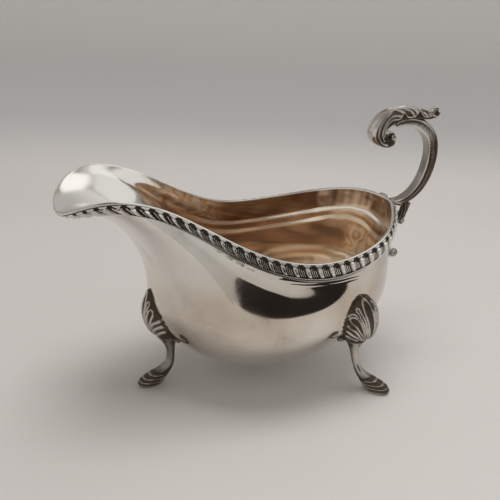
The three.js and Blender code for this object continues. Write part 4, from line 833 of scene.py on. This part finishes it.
# paper sweep, square to the camera: flat under the boat, curving up behind it, its front edge just out of the picture
ca, sa = math.cos(a), math.sin(a)
prof = [(-165.0, 0.0), (-60.0, 0.0), (60.0, 0.0), (150.0, 0.0)]
for k in range(1, 25):
    t_ = k / 24 * pi / 2; prof.append((235.0 + 85 * math.sin(t_), 85 * (1 - math.cos(t_))))
prof += [(320.0, 200.0), (320.0, 330.0), (320.0, 470.0)]
xs = np.linspace(-1300, 1300, 27)
V = np.array([[[x * ca + -sa * b_, x * sa + ca * b_, z_] for x in xs] for b_, z_ in prof]) * MM
n_, m_ = V.shape[:2]; idx = np.arange(n_ * m_).reshape(n_, m_)
me = bpy.data.meshes.new('sweep')
me.from_pydata([tuple(v_) for v_ in V.reshape(-1, 3)], [], [tuple(int(k_) for k_ in (idx[i, j], idx[i, j + 1], idx[i + 1, j + 1], idx[i + 1, j])) for i in range(n_ - 1) for j in range(m_ - 1)])
me.update(); sweep_o = bpy.data.objects.new('sweep', me); bpy.context.scene.collection.objects.link(sweep_o)
me.polygons.foreach_set('use_smooth', np.ones(len(me.polygons), bool)); me.materials.append(stage_mat('paper', (0.855, 0.832, 0.815)))

def area(name, loc, target, size, power, colour=(1, 1, 1), size_y=None):
    L = bpy.data.lights.new(name, 'AREA'); L.energy = power; L.color = colour; L.shape = 'RECTANGLE'; L.size = size; L.size_y = size_y or size
    o = bpy.data.objects.new(name, L); bpy.context.scene.collection.objects.link(o); o.location = Vector(loc)
    o.rotation_euler = (Vector(target) - Vector(loc)).to_track_quat('-Z', 'Y').to_euler(); return o


W = bpy.data.worlds.new('world'); bpy.context.scene.world = W; W.use_nodes = True; nt = W.node_tree
bg = nt.nodes['Background']; bg.inputs['Strength'].default_value = 1.0
tc = nt.nodes.new('ShaderNodeTexCoord'); sep = nt.nodes.new('ShaderNodeSeparateXYZ'); nt.links.new(tc.outputs['Generated'], sep.inputs[0])
AZ = math_(nt, 'MULTIPLY', math_(nt, 'ARCTAN2', sep.outputs['Y'], sep.outputs['X']), 180 / pi)
EL = math_(nt, 'MULTIPLY', math_(nt, 'ARCSINE', sep.outputs['Z']), 180 / pi)


def band(src, lo, hi, soft, soft2=None):
    a_ = node(nt, 'ShaderNodeMapRange', interpolation_type='SMOOTHSTEP', inp={'From Min': lo - soft, 'From Max': lo + soft}); nt.links.new(src, a_.inputs['Value'])
    s2 = soft if soft2 is None else soft2
    b_ = node(nt, 'ShaderNodeMapRange', interpolation_type='SMOOTHSTEP', inp={'From Min': hi - s2, 'From Max': hi + s2, 'To Min': 1.0, 'To Max': 0.0}); nt.links.new(src, b_.inputs['Value'])
    return math_(nt, 'MULTIPLY', a_.outputs[0], b_.outputs[0])


AZS = math_(nt, 'SUBTRACT', AZ, math_(nt, 'MULTIPLY', EL, 0.85))
AZR = math_(nt, 'ADD', AZ, math_(nt, 'MULTIPLY', EL, 0.80))
col = mixc(nt, band(EL, 56, 120, 10), (0.43, 0.415, 0.395), (0.16, 0.128, 0.100))      # walls, then a darker ceiling
col = mixc(nt, math_(nt, 'MULTIPLY', band(AZ, -92, -20, 8, 8), band(EL, 29, 56, 5, 8)), col, (0.57, 0.553, 0.525))
col = mixc(nt, math_(nt, 'MULTIPLY', band(AZ, -32, 20, 6, 8), band(EL, 8, 50, 5)), col, (0.60, 0.585, 0.56))            # bright wall beside the window
col = mixc(nt, math_(nt, 'MULTIPLY', band(AZ, -14, 78, 5, 8), band(EL, 47, 82, 4, 6)), col, (1.12, 1.10, 1.06))         # window, high behind the paper
dark = math_(nt, 'MULTIPLY', math_(nt, 'MULTIPLY', band(AZS, -97, 60, 1.2), band(AZR, -400, -35, 3)), math_(nt, 'MULTIPLY', band(AZ, -140, -20, 4), band(EL, -100, 25, 2)))
col = mixc(nt, dark, col, (0.026, 0.021, 0.020))                                                                          # unlit room in front of the table
nt.links.new(col, bg.inputs['Color'])
o = area('overhead', (-0.02, -0.05, 1.2), (0, 0, 0), 0.60, 4.9, (1.0, 0.985, 0.965)); o.visible_glossy = False


def card(name, pts, colour, strength, fade=None):
    m = bpy.data.materials.new(name); m.use_nodes = True; t_ = m.node_tree; t_.nodes.clear()
    out = t_.nodes.new('ShaderNodeOutputMaterial'); em = t_.nodes.new('ShaderNodeEmission'); em.inputs['Strength'].default_value = strength
    tc_ = t_.nodes.new('ShaderNodeTexCoord'); n_1 = noise(t_, tc_.outputs['Object'], 9, 2)
    c_ = ramp(t_, n_1, [(0.35, tuple(0.92 * v for v in colour)), (0.65, colour)])
    if fade:                                                # a little brighter towards one end along x
        sp_ = t_.nodes.new('ShaderNodeSeparateXYZ'); t_.links.new(tc_.outputs['Object'], sp_.inputs[0])
        mr_ = node(t_, 'ShaderNodeMapRange', interpolation_type='SMOOTHSTEP', inp={'From Min': fade[0], 'From Max': fade[1]}); t_.links.new(sp_.outputs['X'], mr_.inputs['Value'])
        c_ = mixc(t_, mr_.outputs[0], c_, tuple(fade[2] * v for v in colour))
    t_.links.new(c_, em.inputs['Color']); t_.links.new(em.outputs[0], out.inputs['Surface'])
    me_ = bpy.data.meshes.new(name); me_.from_pydata([tuple(v * MM for v in p_) for p_ in pts], [], [tuple(range(len(pts)))]); me_.update(); me_.materials.append(m)
    o_ = bpy.data.objects.new(name, me_); bpy.context.scene.collection.objects.link(o_)
    o_.visible_camera = False; o_.visible_diffuse = False; o_.visible_shadow = False
    return o_


# two pale cards that only the silver sees: one before the neck, one over the opening for the lip
card('card_neck', [(x_, -90, z_) for x_, z_ in ((-63, 25), (-60, 33), (-48, 48), (-38, 62), (-25, 77), (-10, 82), (10, 85), (30, 90), (30, 125), (-130, 125), (-130, 25))], (1.0, 0.96, 0.905), 0.49, (-0.050, -0.005, 1.17))
dl = unit(np.array([0.69, -0.48, 0.46])); sx = unit(np.cross(np.array([0, 0, 1.0]), dl)); sy_ = np.cross(dl, sx); c0 = np.array([-62 + 66 * dl[0], 8 + 66 * dl[1], 93 + 66 * dl[2]])
card('card_lip', [tuple(c0 + a_ * sx + b_ * sy_) for a_, b_ in ((-3, -34), (14, -34), (26, -12), (24, 34), (-12, 34), (-12, 0))], (1.0, 0.985, 0.95), 0.98)
card('card_rim', [(-43, -20, 98), (-43, -20, 62), (-36, -20, 47), (-4, -20, 46), (-6, -20, 92), (-24, -20, 104)], (1.0, 0.98, 0.95), 0.80)
card('card_fore', [(-15, -9, 96), (-15, 10, 87), (-15, 46, 84), (-15, 46, 142), (-15, -2, 142)], (1.0, 0.98, 0.955), 0.80)
card('card_back', [(-125, 75, 108), (24, 75, 100), (24, 75, 190), (-125, 75, 205)], (1.0, 0.975, 0.94), 0.50, (-0.075, 0.010, 1.40))
vs = bpy.context.scene.view_settings; vs.view_transform = 'Standard'; vs.look = 'None'; vs.exposure = 0.0; vs.gamma = 1.0
